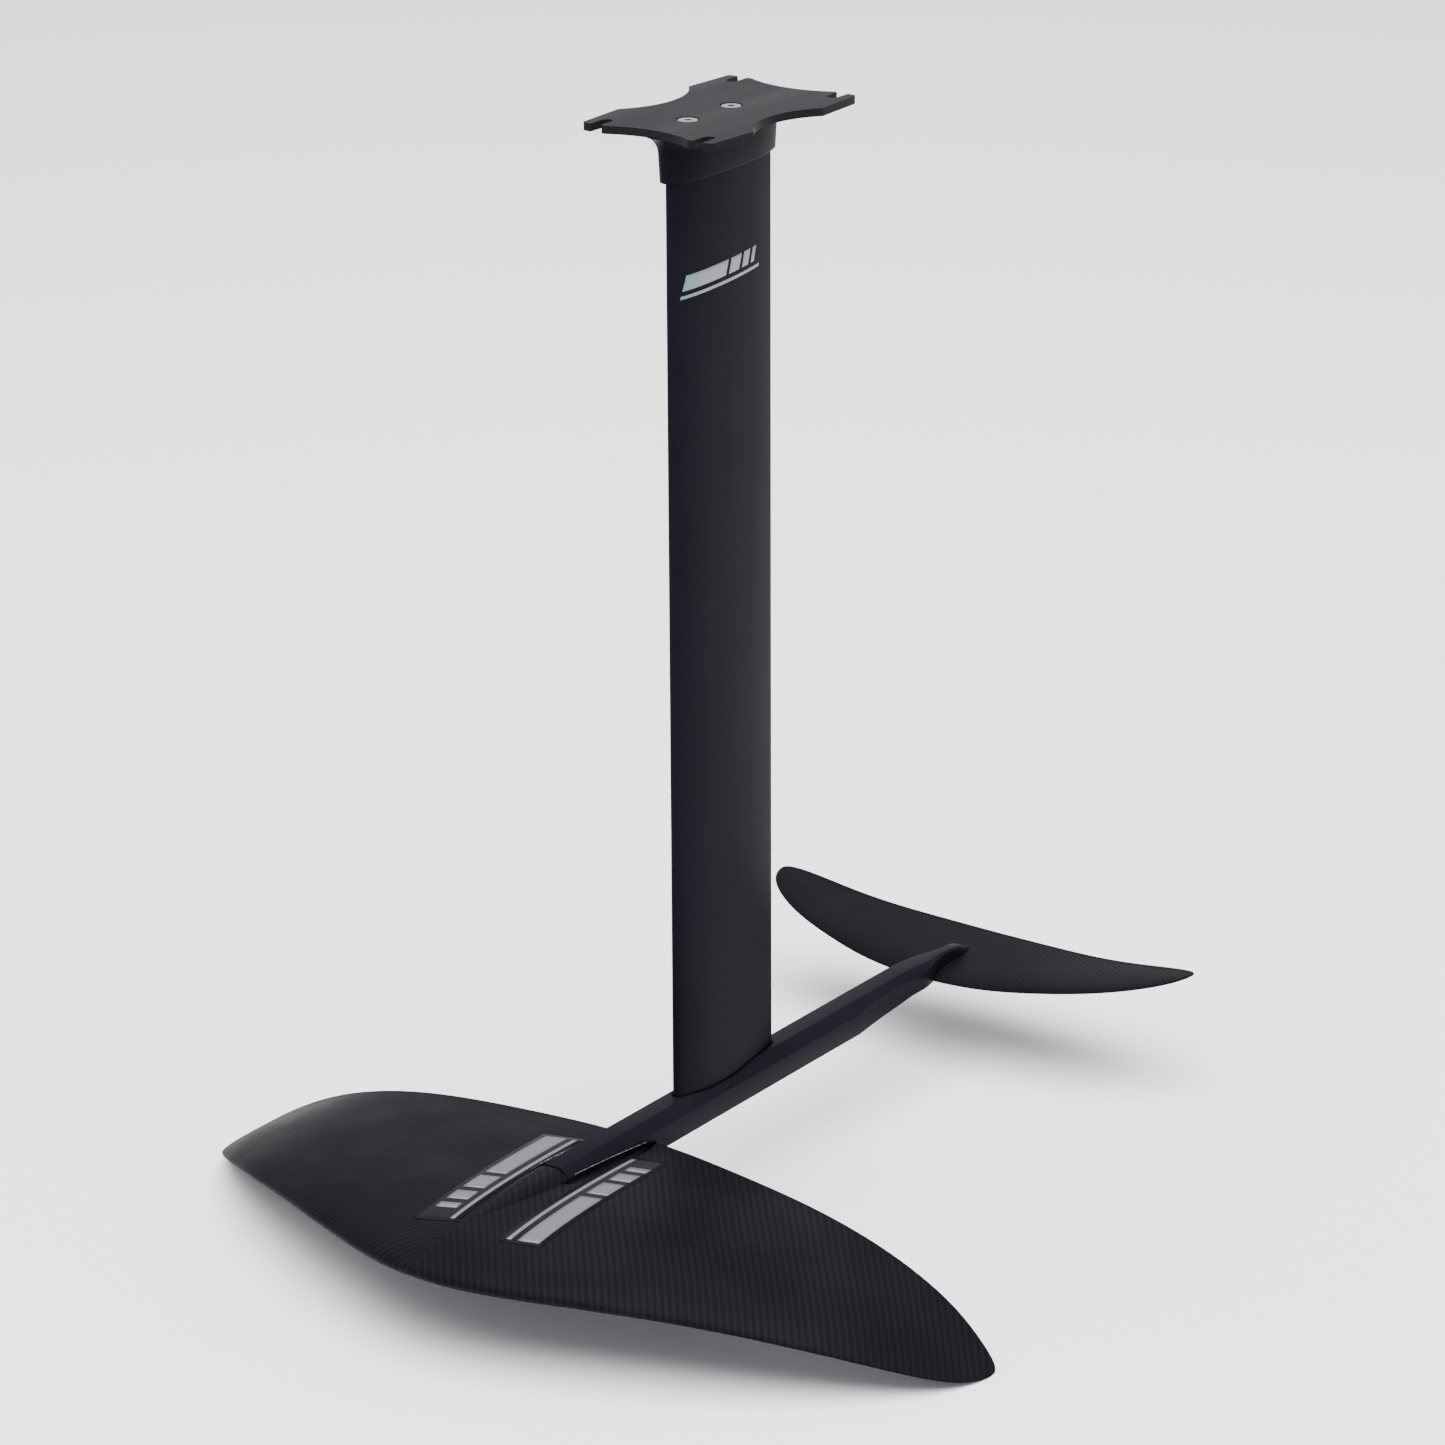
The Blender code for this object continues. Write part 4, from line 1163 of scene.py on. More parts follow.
@dataclass
class MastHead:
    """The slotted top plate, its two screws and the flared collar under it."""

    metal: bpy.types.Material
    collar_metal: bpy.types.Material
    steel: bpy.types.Material
    section: StrutSection
    thickness: float = 6 * MM
    tip_x: float = 90 * MM
    edge_x: float = 81 * MM
    finger_y: float = 57.5 * MM
    kink: Flat = (43 * MM, 60 * MM)
    waist_y: float = 43.5 * MM
    slot_y: float = 45 * MM
    slot_end_x: float = 76.5 * MM
    slot_half: float = 4.25 * MM
    tip_corner: float = 3.5 * MM
    prong_corner: float = 2 * MM
    screw_xs: Flat = (40 * MM, -13 * MM)
    collar_low: float = -41.7 * MM
    collar_wall: float = 5 * MM
    collar_lean: float = 0.06
    collar_edge: float = 0.9 * MM
    flare: float = 14.5 * MM

    def quarter(self) -> list[Flat]:
        """Return the plate's outline from the middle of its port side to its front edge.

        Returns:
            The outline's points in order.
        """
        rise = self.kink[1] - self.waist_y
        radius = (self.kink[0] ** 2 + rise ** 2) / (2 * rise)
        sweep = math.degrees(math.asin(self.kink[0] / radius))
        side = arc((0, self.waist_y + radius), radius, -90, -90 + sweep, 18)
        corner = self.tip_corner
        tip = arc((self.tip_x - corner, self.finger_y - corner), corner, 80, 0, 8)
        slot = [(self.tip_x, self.slot_y + self.slot_half)]
        slot += arc((self.slot_end_x, self.slot_y), self.slot_half, 90, 270, 18)
        inner = self.prong_corner
        prong = arc((self.tip_x - inner, self.slot_y - self.slot_half - inner), inner, 90, 0, 6)
        chord = self.slot_y - self.slot_half - 2 * inner
        depth = self.tip_x - self.edge_x
        front_radius = (chord ** 2 + depth ** 2) / (2 * depth)
        front_sweep = math.degrees(math.asin(chord / front_radius))
        front = arc((self.edge_x + front_radius, 0), front_radius, 180 - front_sweep, 180, 14)
        return side + tip + slot + prong + front

    def outline(self) -> list[Flat]:
        """Return the whole plate outline.

        Returns:
            The outline's points in order.
        """
        first = self.quarter()
        second = [(x, -y) for x, y in reversed(first[:-1])]
        third = [(-x, -y) for x, y in first[1:]]
        fourth = [(-x, y) for x, y in reversed(first[1:-1])]
        return first + second + third + fourth

    def screws(self) -> list[CountersunkScrew]:
        """Return the two plate screws, not yet built.

        Returns:
            The screws, from the front.
        """
        return [CountersunkScrew(f"plate_screw_{end}", x, 8 * MM, -GAP, -40 * MM, Head.UP,
                                 self.steel, turn)
                for end, x, turn in zip(("front", "rear"), self.screw_xs, (12.0, 41.0))]

    def build_plate(self) -> bpy.types.Object:
        """Cut, countersink and break the edges of the plate.

        Returns:
            The finished plate.
        """
        plate = prism("board_plate", self.outline(), -self.thickness, 0.0, self.metal)
        cut(plate, [screw.seat_tool() for screw in self.screws()])
        round_edges(plate, 0.45 * MM, 3, 40)
        shade(plate, 30)
        return settle(plate, "anodised_plate", "top_plate")

    def collar_top(self) -> float:
        """Return the height of the collar's upper end."""
        return -self.thickness - GAP

    def flare_low(self) -> float:
        """Return the height where the collar starts to flare."""
        return self.collar_top() - 0.95 * self.flare

    def growth(self, z: float) -> float:
        """Return how far the collar stands out from the mast at a height.

        Args:
            z: The height.

        Returns:
            The distance.
        """
        grown = self.collar_wall + self.collar_lean * (z - self.collar_low)
        above = z - self.flare_low()
        if above > 0:
            grown += self.flare - math.sqrt(self.flare ** 2 - above ** 2)
        return grown

    def ring(self, z: float, inset: float = 0.0) -> list[Point]:
        """Return the collar's outline at a height, pulled in by an inset.

        Args:
            z: The height.
            inset: How far it is pulled in.

        Returns:
            The outline's points.
        """
        grown = self.growth(z) - inset
        outline = self.section.outline(grown, 0.9 * grown, 30, 2.3, 0.85, 0.35 * grown)
        return [(x, y, z) for x, y in outline]

    def build_collar(self) -> bpy.types.Object:
        """Loft the flared collar around the mast.

        Returns:
            The finished collar.
        """
        top, start = self.collar_top(), self.flare_low()
        low, edge = self.collar_low, self.collar_edge
        rings = [self.ring(low, edge), self.ring(low + 0.25 * edge, 0.3 * edge),
                 self.ring(low + edge)]
        rings += [self.ring(start + (top - start) * i / 10) for i in range(11)]
        rings += [[(x, y, z) for x, y in self.section.outline(GAP)] for z in (top, low)]
        collar = loft("head_collar", rings, self.collar_metal, closed=True)
        shade(collar, 48)
        return settle(collar, "anodised_collar", "mast_collar")

    def build(self) -> None:
        """Build every piece of the mast's head."""
        for piece in (self.build_plate(), self.build_collar(), *(s.build() for s in self.screws())):
            report(piece)


# ---------------------------------------------------------------- mast

@dataclass
class Mast:
    """The extruded mast."""

    metal: bpy.types.Material
    section: StrutSection
    high: float = -6.3 * MM
    low: float = FUSELAGE_TOP - 4.2 * MM

    def build(self) -> None:
        """Extrude the mast and round its tail edge."""
        outline = self.section.outline(steps=44)
        mast = loft("mast_strut", [[(x, y, z) for x, y in outline] for z in (self.low, self.high)],
                    self.metal)
        round_edges(mast, 0.35 * MM, 2, 40)
        shade(mast, 35)
        report(settle(mast, "anodised_mast", "mast"))


# ---------------------------------------------------------------- lifting surfaces

# Half of a streamlined section: the weights of the square root and of the first four powers of the
# chord fraction, for a thickness of a fifth of the chord.
SECTION_SHAPE = (0.2969, -0.1260, -0.3516, 0.2843, -0.1036)


@dataclass
class LiftingSurface:
    """A wing, described by its plan, the bend of its span line and its section."""

    half_span: float
    stations: Sequence[tuple[float, float, float]]
    tip_x: float
    root_z: float
    bend: float
    bend_power: float
    thickness: float
    twist_deg: Flat
    edge_half: float = 0.45 * MM
    tip_deg: float = 88.6
    edge_x: Callable[[float], float] = field(init=False)

    def __post_init__(self) -> None:
        """Fit the plan's outline through its stations."""
        knots = [math.asin(part) for part, _, _ in self.stations]
        around = knots + [math.pi / 2] + [math.pi - knot for knot in reversed(knots)]
        edge = [front for _, front, _ in self.stations] + [self.tip_x]
        edge += [rear for _, _, rear in reversed(self.stations)]
        self.edge_x = level_spline(around, edge)

    def height(self, part: float) -> float:
        """Return the height of the span line at a fraction of the half span."""
        return self.root_z + self.bend * abs(part) ** self.bend_power

    def half_thickness(self, chord: float, u: float) -> float:
        """Return half the section's thickness at a fraction of the chord.

        Args:
            chord: The length of the chord.
            u: The fraction of the chord, from the nose.

        Returns:
            Half the thickness.
        """
        round_nose, *body = SECTION_SHAPE
        shape = round_nose * math.sqrt(u)
        for power, amount in enumerate(body, 1):
            shape += amount * u ** power
        return 5 * self.thickness * chord * shape

    def point(self, part: float, u: float, side: int, lift: float = 0.0) -> Point:
        """Return a point of the surface.

        Args:
            part: The fraction of the half span, negative to starboard.
            u: The fraction of the chord, from the nose.
            side: 1 for the upper surface and -1 for the lower.
            lift: How far outside the surface the point stands.

        Returns:
            The point's place.
        """
        sweep = math.asin(min(1.0, abs(part)))
        front = self.edge_x(sweep)
        chord = front - self.edge_x(math.pi - sweep)
        rise = (self.height(abs(part) + 1e-4) - self.height(abs(part))) / (1e-4 * self.half_span)
        tilt = math.copysign(math.atan(rise), part)
        root_twist, tip_twist = self.twist_deg
        twist = math.radians(root_twist + (tip_twist - root_twist) * abs(part))
        half = self.half_thickness(chord, u)
        if u > 0.5:
            half = max(half, self.edge_half)
        h = side * (half + lift) - (u - 0.5) * chord * math.tan(twist)
        return (front - u * chord, part * self.half_span - h * math.sin(tilt),
                self.height(part) + h * math.cos(tilt))

    def over(self, x: float, y: float, side: int = 1, lift: float = 0.0) -> Point:
        """Return the surface point over a place in plan.

        Args:
            x: The place along the foil.
            y: The place across it.
            side: 1 for the upper surface and -1 for the lower.
            lift: How far outside the surface the point stands.

        Returns:
            The point's place.
        """
        part = y / self.half_span
        for _ in range(4):
            sweep = math.asin(min(1.0, abs(part)))
            front = self.edge_x(sweep)
            chord = front - self.edge_x(math.pi - sweep)
            u = min(1.0, max(0.0, (front - x) / chord))
            found = self.point(part, u, side, lift)
            part += (y - found[1]) / self.half_span
        return found

    def ring(self, part: float, chord_points: int) -> list[Point]:
        """Return the closed ring around the section at a station.

        Args:
            part: The fraction of the half span.
            chord_points: The points on each side.

        Returns:
            The points, from the tail over the top to the nose and back underneath.
        """
        us = [(1 - math.cos(math.pi * i / chord_points)) / 2 for i in range(chord_points + 1)]
        upper = [self.point(part, u, 1) for u in reversed(us)]
        lower = [self.point(part, u, -1) for u in us[1:]]
        return upper + lower

    def shell(self, name: str, material: bpy.types.Material, span_steps: int,
              chord_points: int) -> bpy.types.Object:
        """Loft the whole wing as a cage and subdivide it.

        Args:
            name: The piece's name.
            material: The laminate.
            span_steps: The stations from tip to tip.
            chord_points: The points on each side of a section.

        Returns:
            The closed, subdivided wing.
        """
        turns = [self.tip_deg * (2 * i / span_steps - 1) for i in range(span_steps + 1)]
        rings = [self.ring(math.sin(math.radians(turn)), chord_points) for turn in turns]
        cage = loft(name, rings, material, strip_caps=True)
        subdivide(cage, 2)
        apply_stack(cage)
        return cage


@dataclass
class Mound:
    """A low fairing on a lifting surface, that dies out along the chord."""

    name: str
    surface: LiftingSurface
    material: bpy.types.Material
    start_x: float
    run: float
    half: float
    crest: float
    narrowing_power: float
    fall: Flat
    round_off: Flat
    sink: float
    wall: float
    rows: int
    cols: int
    narrowing: float = 0.85

    def build(self, slot: str) -> bpy.types.Object:
        """Shape the mound.

        Args:
            slot: The record's material slot of the mound.

        Returns:
            The finished piece.
        """
        rings = []
        for row in range(self.rows + 1):
            along = row / self.rows
            half = self.half * (1 - self.narrowing * along ** self.narrowing_power)
            ridge = self.crest * (1 - along ** self.fall[0]) ** self.fall[1]
            top, low = [], []
            for col in range(self.cols + 1):
                across = 1 - 2 * col / self.cols
                rise = ridge * (1 - abs(across) ** self.round_off[0]) ** self.round_off[1]
                x, y, z = self.surface.over(self.start_x + self.run * along, half * across)
                top.append((x, y, z - self.sink + rise))
                low.append((x, y, z - self.wall))
            rings.append(top + low[::-1])
        mound = loft(self.name, rings, self.material, strip_caps=True)
        subdivide(mound, 1)
        shade(mound, 50)
        return settle(mound, slot)


FRONT_WING = LiftingSurface(
    half_span=352 * MM,
    stations=((0.0, 381 * MM, 112 * MM), (0.26, 359 * MM, 122 * MM),
              (0.50, 322 * MM, 131 * MM), (0.71, 281 * MM, 135.5 * MM),
              (0.87, 237 * MM, 139 * MM), (0.966, 197 * MM, 147 * MM)),
    tip_x=160 * MM, root_z=FUSELAGE_TOP - 20 * MM, bend=-71 * MM, bend_power=3.6,
    thickness=0.119, twist_deg=(-1.45, -5.9))

STABILIZER = LiftingSurface(
    half_span=202 * MM,
    stations=((0.0, -275 * MM, -391 * MM), (0.26, -278 * MM, -388 * MM),
              (0.50, -290 * MM, -381.5 * MM), (0.71, -305 * MM, -378 * MM),
              (0.87, -323.5 * MM, -376 * MM), (0.966, -343 * MM, -371.5 * MM)),
    tip_x=-362 * MM, root_z=FUSELAGE_TOP - 20.5 * MM, bend=21.5 * MM, bend_power=1.8,
    thickness=0.075, twist_deg=(0.0, 0.0))


# ---------------------------------------------------------------- fuselage

@dataclass
class Fuselage:
    """The chamfered bar that carries the mast and both wings."""

    metal: bpy.types.Material
    steel: bpy.types.Material
    section: StrutSection
    nose_x: float = 217 * MM
    tail_start: float = -161 * MM
    tail_taper: float = -256 * MM
    tail_end: float = -326 * MM
    half: float = 16 * MM
    flat: float = 7.8 * MM
    chamfer_drop: float = 8.3 * MM
    depth: float = 25.5 * MM
    waist_half: float = 13.4 * MM
    waist_run: float = 44 * MM
    taper_run: float = 46 * MM
    tail_half: float = 5.4 * MM
    drop_x: float = -235 * MM
    tail_drop: float = 7.5 * MM
    rise_run: float = 73 * MM
    tail_rise: float = 4.8 * MM
    bend: float = 1.3
    tongue_x: float = 111.5 * MM
    tongue_depth: float = 14.5 * MM
    bolt_xs: Flat = (40 * MM, -13 * MM)

    def corners(self, x: float) -> list[Flat]:
        """Return the six (y, z) corners of the bar at a station, from the port top edge round.

        Args:
            x: The station.

        Returns:
            The corners.
        """
        waist = min(1.0, max(0.0, (self.tail_start - x) / self.waist_run))
        taper = min(1.0, max(0.0, (self.tail_taper - x) / self.taper_run))
        half = self.half - (self.half - self.waist_half) * waist * (2 - waist)
        half -= (self.waist_half - self.tail_half) * taper ** 2 * (3 - 2 * taper)
        flat = min(self.flat, 0.72 * half)
        slope = self.chamfer_drop / (self.half - self.flat)
        run = max(0.0, (self.drop_x - x) / (self.drop_x - self.tail_end))
        top = FUSELAGE_TOP - self.tail_drop * run ** self.bend
        edge = top - (half - flat) * slope
        low = self.floor(x)
        return [(flat, top), (half, edge), (half, low), (-half, low), (-half, edge), (-flat, top)]

    def floor(self, x: float) -> float:
        """Return the height of the bar's underside at a station.

        Args:
            x: The station.

        Returns:
            The height.
        """
        if x > self.tongue_x:
            return FUSELAGE_TOP - self.tongue_depth
        climb = min(1.0, max(0.0, (self.tail_start - 4 * MM - x) / self.rise_run))
        return FUSELAGE_TOP - self.depth + self.tail_rise * climb ** self.bend

    def stations(self) -> list[float]:
        """Return the stations along the bar, doubled where its underside steps.

        Returns:
            The stations, from nose to tail.
        """
        fixed = [self.nose_x, self.tongue_x + 0.05 * MM, self.tongue_x, 60 * MM, 0.0,
                 self.tail_start]
        taper = [self.tail_start - 3.6 * MM * i for i in range(1, 41)]
        return fixed + taper + [-313 * MM, self.tail_end + 3 * MM]

    def build_bar(self) -> bpy.types.Object:
        """Loft the bar, sink the mast's pocket and the bolt seats, and break its edges.

        Returns:
            The finished bar.
        """
        rings = [[(x, y, z) for y, z in self.corners(x)] for x in self.stations()]
        last = self.corners(self.tail_end)
        rings.append([(self.tail_end, 0.6 * y, z - 0.8 * MM if i in (0, 1, 4, 5) else z)
                      for i, (y, z) in enumerate(last)])
        bar = loft("fuselage_bar", rings, self.metal)
        pocket = prism("pocket_tool", self.section.outline(1.3 * MM), FUSELAGE_TOP - 4.5 * MM,
                       FUSELAGE_TOP + 9 * MM, None)
        round_edges(bar, 0.5 * MM, 2, 30)
        cut(bar, [pocket] + [bolt.seat_tool() for bolt in self.bolts()])
        shade(bar, 26)
        return settle(bar, "anodised_fuselage", "fuselage")

    def bolts(self) -> list[CountersunkScrew]:
        """Return the two mast bolts, not yet built.

        Returns:
            The bolts, from the front.
        """
        return [CountersunkScrew(f"mast_bolt_{end}", x, 8 * MM, FUSELAGE_TOP - self.depth + GAP,
                                 FUSELAGE_TOP + 20 * MM, Head.DOWN, self.steel, turn)
                for end, x, turn in zip(("front", "rear"), self.bolt_xs, (25.0, 3.0))]

    def build(self) -> None:
        """Build the bar and its bolts."""
        for piece in (self.build_bar(), *(bolt.build() for bolt in self.bolts())):
            report(piece)


# ---------------------------------------------------------------- front wing

@dataclass
class FrontWing:
    """The front wing with its nose fairing, root fillets and bolts."""

    carbon: bpy.types.Material
    # The fillet's resin is near-black partly as painted shade in the crease beside the fuselage.
    resin: bpy.types.Material
    # The bead's material carries painted glints: bright flecks standing for highlights along the
    # seam.
    bead: bpy.types.Material
    steel: bpy.types.Material
    surface: LiftingSurface
    bolt_xs: tuple[float, float, float] = (204 * MM, 177 * MM, 150 * MM)
    fairing_start: float = 217.3 * MM
    fairing_run: float = 90.7 * MM
    fairing_half: float = 15.5 * MM
    fillet_span: Flat = (113 * MM, 228 * MM)
    fillet_inner: float = 15.8 * MM
    fillet_width: float = 11 * MM
    fillet_rise: float = 3 * MM
    fillet_wall: float = 0.9 * MM
    bead_span: Flat = (124 * MM, 212 * MM)
    bead_y: float = 16.25 * MM
    bead_radius: float = 0.30 * MM

    def bolts(self) -> list[CountersunkScrew]:
        """Return the three wing bolts, not yet built.

        Returns:
            The bolts, from the front.
        """
        made = []
        for end, x, turn in zip(("front", "middle", "rear"), self.bolt_xs, (8.0, 31.0, 52.0)):
            head_z = self.surface.over(x, 0.0, -1)[2] + 0.6 * MM
            made.append(CountersunkScrew(f"front_wing_bolt_{end}", x, 8 * MM, head_z,
                                         FUSELAGE_TOP - 5.5 * MM, Head.DOWN, self.steel, turn))
        return made

    def build_shell(self) -> bpy.types.Object:
        """Loft the wing and sink its bolt seats.

        Returns:
            The finished wing.
        """
        wing = self.surface.shell("front_wing_shell", self.carbon, 46, 17)
        cut(wing, [bolt.seat_tool() for bolt in self.bolts()])
        shade(wing, 38)
        return settle(wing, "carbon_wing", "front_wing_upper_skin", "front_wing_lower_skin")

    def build_fairing(self) -> bpy.types.Object:
        """Shape the mound that carries the fuselage's nose down to the wing.

        Returns:
            The finished fairing.
        """
        crest = FUSELAGE_TOP - GAP - self.surface.over(self.fairing_start, 0.0)[2]
        return Mound("nose_fairing", self.surface, self.carbon, self.fairing_start,
                     self.fairing_run, self.fairing_half, crest, narrowing_power=1.6,
                     fall=(1.4, 1.2), round_off=(3.2, 1.15), sink=0.15 * MM, wall=1.0 * MM,
                     rows=26, cols=18).build("carbon_wing")

    def build_fillet(self, side: Side) -> bpy.types.Object:
        """Sweep the black resin fillet along one side of the fuselage; its near-black finish is
        partly painted shade in the crease.

        Args:
            side: Port or starboard.

        Returns:
            The fillet.
        """
        rings = []
        steps, cols = 30, 6
        start, end = self.fillet_span
        for step in range(steps + 1):
            part = step / steps
            ease = math.sin(math.pi * min(1.0, max(0.02, part))) ** 0.35
            ring, under = [], []
            for col in range(cols + 1):
                t = col / cols
                y = side.value * (self.fillet_inner + self.fillet_width * ease * t)
                px, py, pz = self.surface.over(start + (end - start) * part, y)
                ring.append((px, py, pz - 0.1 * MM + self.fillet_rise * ease * (1 - t) ** 2.2))
                under.append((px, py, self.surface.over(px, py)[2] - self.fillet_wall))
            rings.append(ring + under[::-1])
        fillet = loft(f"root_fillet_{side.name.lower()}", rings, self.resin, strip_caps=True)
        subdivide(fillet, 1)
        shade(fillet, 60)
        return settle(fillet, "seam_resin")

    def build_bead(self, side: Side) -> bpy.types.Object:
        """Lay the thin bead of sealant where the fillet meets the fuselage; its bright flecks are
        painted glints.

        Args:
            side: Port or starboard.

        Returns:
            The bead.
        """
        rings = []
        steps = 60
        start, end = self.bead_span
        y = side.value * self.bead_y
        for step in range(steps + 1):
            x = start + (end - start) * step / steps
            unevenness = 0.25 * math.sin(step * 2.1) * math.sin(step * 0.9 + 1)
            radius = self.bead_radius * (0.75 + unevenness)
            z = self.surface.over(x, side.value * (self.bead_y - 0.05 * MM))[2] + self.fillet_rise
            rings.append([(x, y + a, z + b) for a, b in circle(radius, 8)])
        bead = loft(f"root_bead_{side.name.lower()}", rings, self.bead)
        shade(bead, 60)
        return settle(bead, "seam_resin")

    def build(self) -> None:
        """Build every piece of the front wing."""
        pieces = [self.build_shell(), self.build_fairing()]
        pieces += [make(side) for side in Side for make in (self.build_fillet, self.build_bead)]
        pieces += [bolt.build() for bolt in self.bolts()]
        for piece in pieces:
            report(piece)


# ---------------------------------------------------------------- stabilizer

@dataclass
class Tail:
    """The stabilizer with its small fairing and its two bolts."""

    carbon: bpy.types.Material
    steel: bpy.types.Material
    surface: LiftingSurface
    bolt_xs: Flat = (-295 * MM, -315 * MM)
    ramp_start: float = -325.6 * MM
    ramp_run: float = 20.4 * MM
    ramp_half: float = 5.2 * MM
    ramp_crest: float = 8.3 * MM

    def bolts(self) -> list[CountersunkScrew]:
        """Return the two stabilizer bolts, not yet built.

        Returns:
            The bolts, from the front.
        """
        made = []
        for end, x, turn in zip(("front", "rear"), self.bolt_xs, (14.0, 37.0)):
            head_z = self.surface.over(x, 0.0, -1)[2] + 0.5 * MM
            made.append(CountersunkScrew(f"stabilizer_bolt_{end}", x, 6 * MM, head_z,
                                         FUSELAGE_TOP - 10.5 * MM, Head.DOWN, self.steel, turn))
        return made

    def build_shell(self) -> bpy.types.Object:
        """Loft the stabilizer and sink its bolt seats.

        Returns:
            The finished stabilizer.
        """
        wing = self.surface.shell("stabilizer_shell", self.carbon, 36, 14)
        cut(wing, [bolt.seat_tool() for bolt in self.bolts()])
        shade(wing, 38)
        return settle(wing, "carbon_stabilizer", "stabilizer")

    def build_fairing(self) -> bpy.types.Object:
        """Shape the small ramp behind the fuselage's tail.

        Returns:
            The finished ramp.
        """
        return Mound("tail_fairing", self.surface, self.carbon, self.ramp_start, -self.ramp_run,
                     self.ramp_half, self.ramp_crest, narrowing_power=1.0, fall=(1.0, 1.1),
                     round_off=(3.5, 1.0), sink=0.1 * MM, wall=0.8 * MM,
                     rows=12, cols=8).build("carbon_stabilizer")

    def build(self) -> None:
        """Build every piece of the stabilizer."""
        pieces = [self.build_shell(), self.build_fairing()]
        pieces += [bolt.build() for bolt in self.bolts()]
        for piece in pieces:
            report(piece)


# ---------------------------------------------------------------- transfers

@dataclass
class Sheet:
    """A thin sheet that is laid on a surface as slanted patches."""

    name: str
    length: float
    height: float
    place: Place
    material: bpy.types.Material
    slant: float = 0.35

    def patch(self, span: Flat, rise: Flat, cols: int, rows: int, lift: float) -> list[Point]:
        """Return the points of one patch, row by row.

        Args:
            span: Where the patch starts and ends along the sheet.
            rise: Where it starts and ends up the sheet.
            cols: The steps along.
            rows: The steps up.
            lift: How far it stands off the surface.

        Returns:
            The points.
        """
        points = []
        for row in range(rows + 1):
            t = rise[0] + (rise[1] - rise[0]) * row / rows
            for col in range(cols + 1):
                s = span[0] + (span[1] - span[0]) * col / cols
                points.append(self.place(s + self.slant * t, t, lift))
        return points

    def finish(self, points: Sequence[Point], faces: Sequence[tuple[int, ...]], thickness: float,
               slot: str) -> None:
        """Make the sheet from its patches.

        Args:
            points: The points of all patches.
            faces: The corner numbers of each face.
            thickness: The thickness of the sheet.
            slot: The record's material slot of the sheet.
        """
        sheet = mesh_object(self.name, points, faces, self.material)
        depth = sheet.modifiers.new("Thickness", "SOLIDIFY")
        depth.thickness = thickness
        depth.offset = 0.0
        shade(sheet, 60)
        report(settle(sheet, slot))


@dataclass
class StripeTransfer(Sheet):
    """A plain striped transfer: one long slanted bar, three short ones and a thin line."""

    bars: tuple[tuple[Flat, Flat], ...] = (
        ((0.0, 0.50), (0.34, 1.0)), ((0.54, 0.68), (0.34, 1.0)), ((0.72, 0.81), (0.34, 1.0)),
        ((0.85, 0.90), (0.34, 1.0)), ((0.0, 1.0), (0.0, 0.14)))
    lift: float = 0.10 * MM
    thickness: float = 0.08 * MM

    def build(self) -> None:
        """Lay the stripes on the surface."""
        points: list[Point] = []
        faces: list[tuple[int, ...]] = []
        rows = 5
        for (start, end), (low, high) in self.bars:
            cols = max(2, int((end - start) * 40))
            faces += grid_faces(len(points), cols, rows)
            points += self.patch((start * self.length, end * self.length),
                                 (low * self.height, high * self.height), cols, rows, self.lift)
        self.finish(points, faces, self.thickness, "print_silver")


@dataclass
class FilmPatch(Sheet):
    """The clear film that a transfer was laid on with, a little larger all round."""

    margin: float = 4 * MM
    lift: float = 0.045 * MM
    thickness: float = 0.03 * MM

    def build(self) -> None:
        """Lay the film on the surface."""
        cols, rows = 36, 6
        points = self.patch((-self.margin, self.length + self.margin),
                            (-self.margin, self.height + self.margin), cols, rows, self.lift)
        self.finish(points, grid_faces(0, cols, rows), self.thickness, "seam_resin")


@dataclass(frozen=True)
class WingSpot:
    """Where a transfer starts on the front wing, and which way it runs."""

    x: float
    y: float
    heading: int
    splay: float

    def lay(self, s: float, t: float, lift: float) -> Point:
        """Return the place on the wing of a point of the transfer."""
        y = self.y + self.splay * s - self.heading * t
        return FRONT_WING.over(self.x + self.heading * s, y, 1, lift)


@dataclass(frozen=True)
class MastSpot:
    """Where a transfer starts on the mast's port side, and how it slopes."""

    section: StrutSection
    x: float = 58.5 * MM
    z: float = -129 * MM
    slope: float = 0.04

    def lay(self, s: float, t: float, lift: float) -> Point:
        """Return the place on the mast of a point of the transfer."""
        x = self.x - s
        return (x, self.section.side_y(x) + lift, self.z + self.slope * s + t)


# ---------------------------------------------------------------- studio

@dataclass(frozen=True)
class SoftBox:
    """A square soft light."""

    name: str
    place: Point
    size: float
    watts: float

    def hang(self, aim: Point) -> None:
        """Hang the light and turn it towards a point.

        Args:
            aim: The point.
        """
        light = bpy.data.lights.new(self.name, "AREA")
        light.shape = "SQUARE"
        light.size = self.size
        light.energy = self.watts
        lamp = bpy.data.objects.new(self.name, light)
        lamp.location = self.place
        way = Vector(aim) - Vector(self.place)
        lamp.rotation_euler = way.to_track_quat("-Z", "Y").to_euler()
        bpy.context.scene.collection.objects.link(lamp)


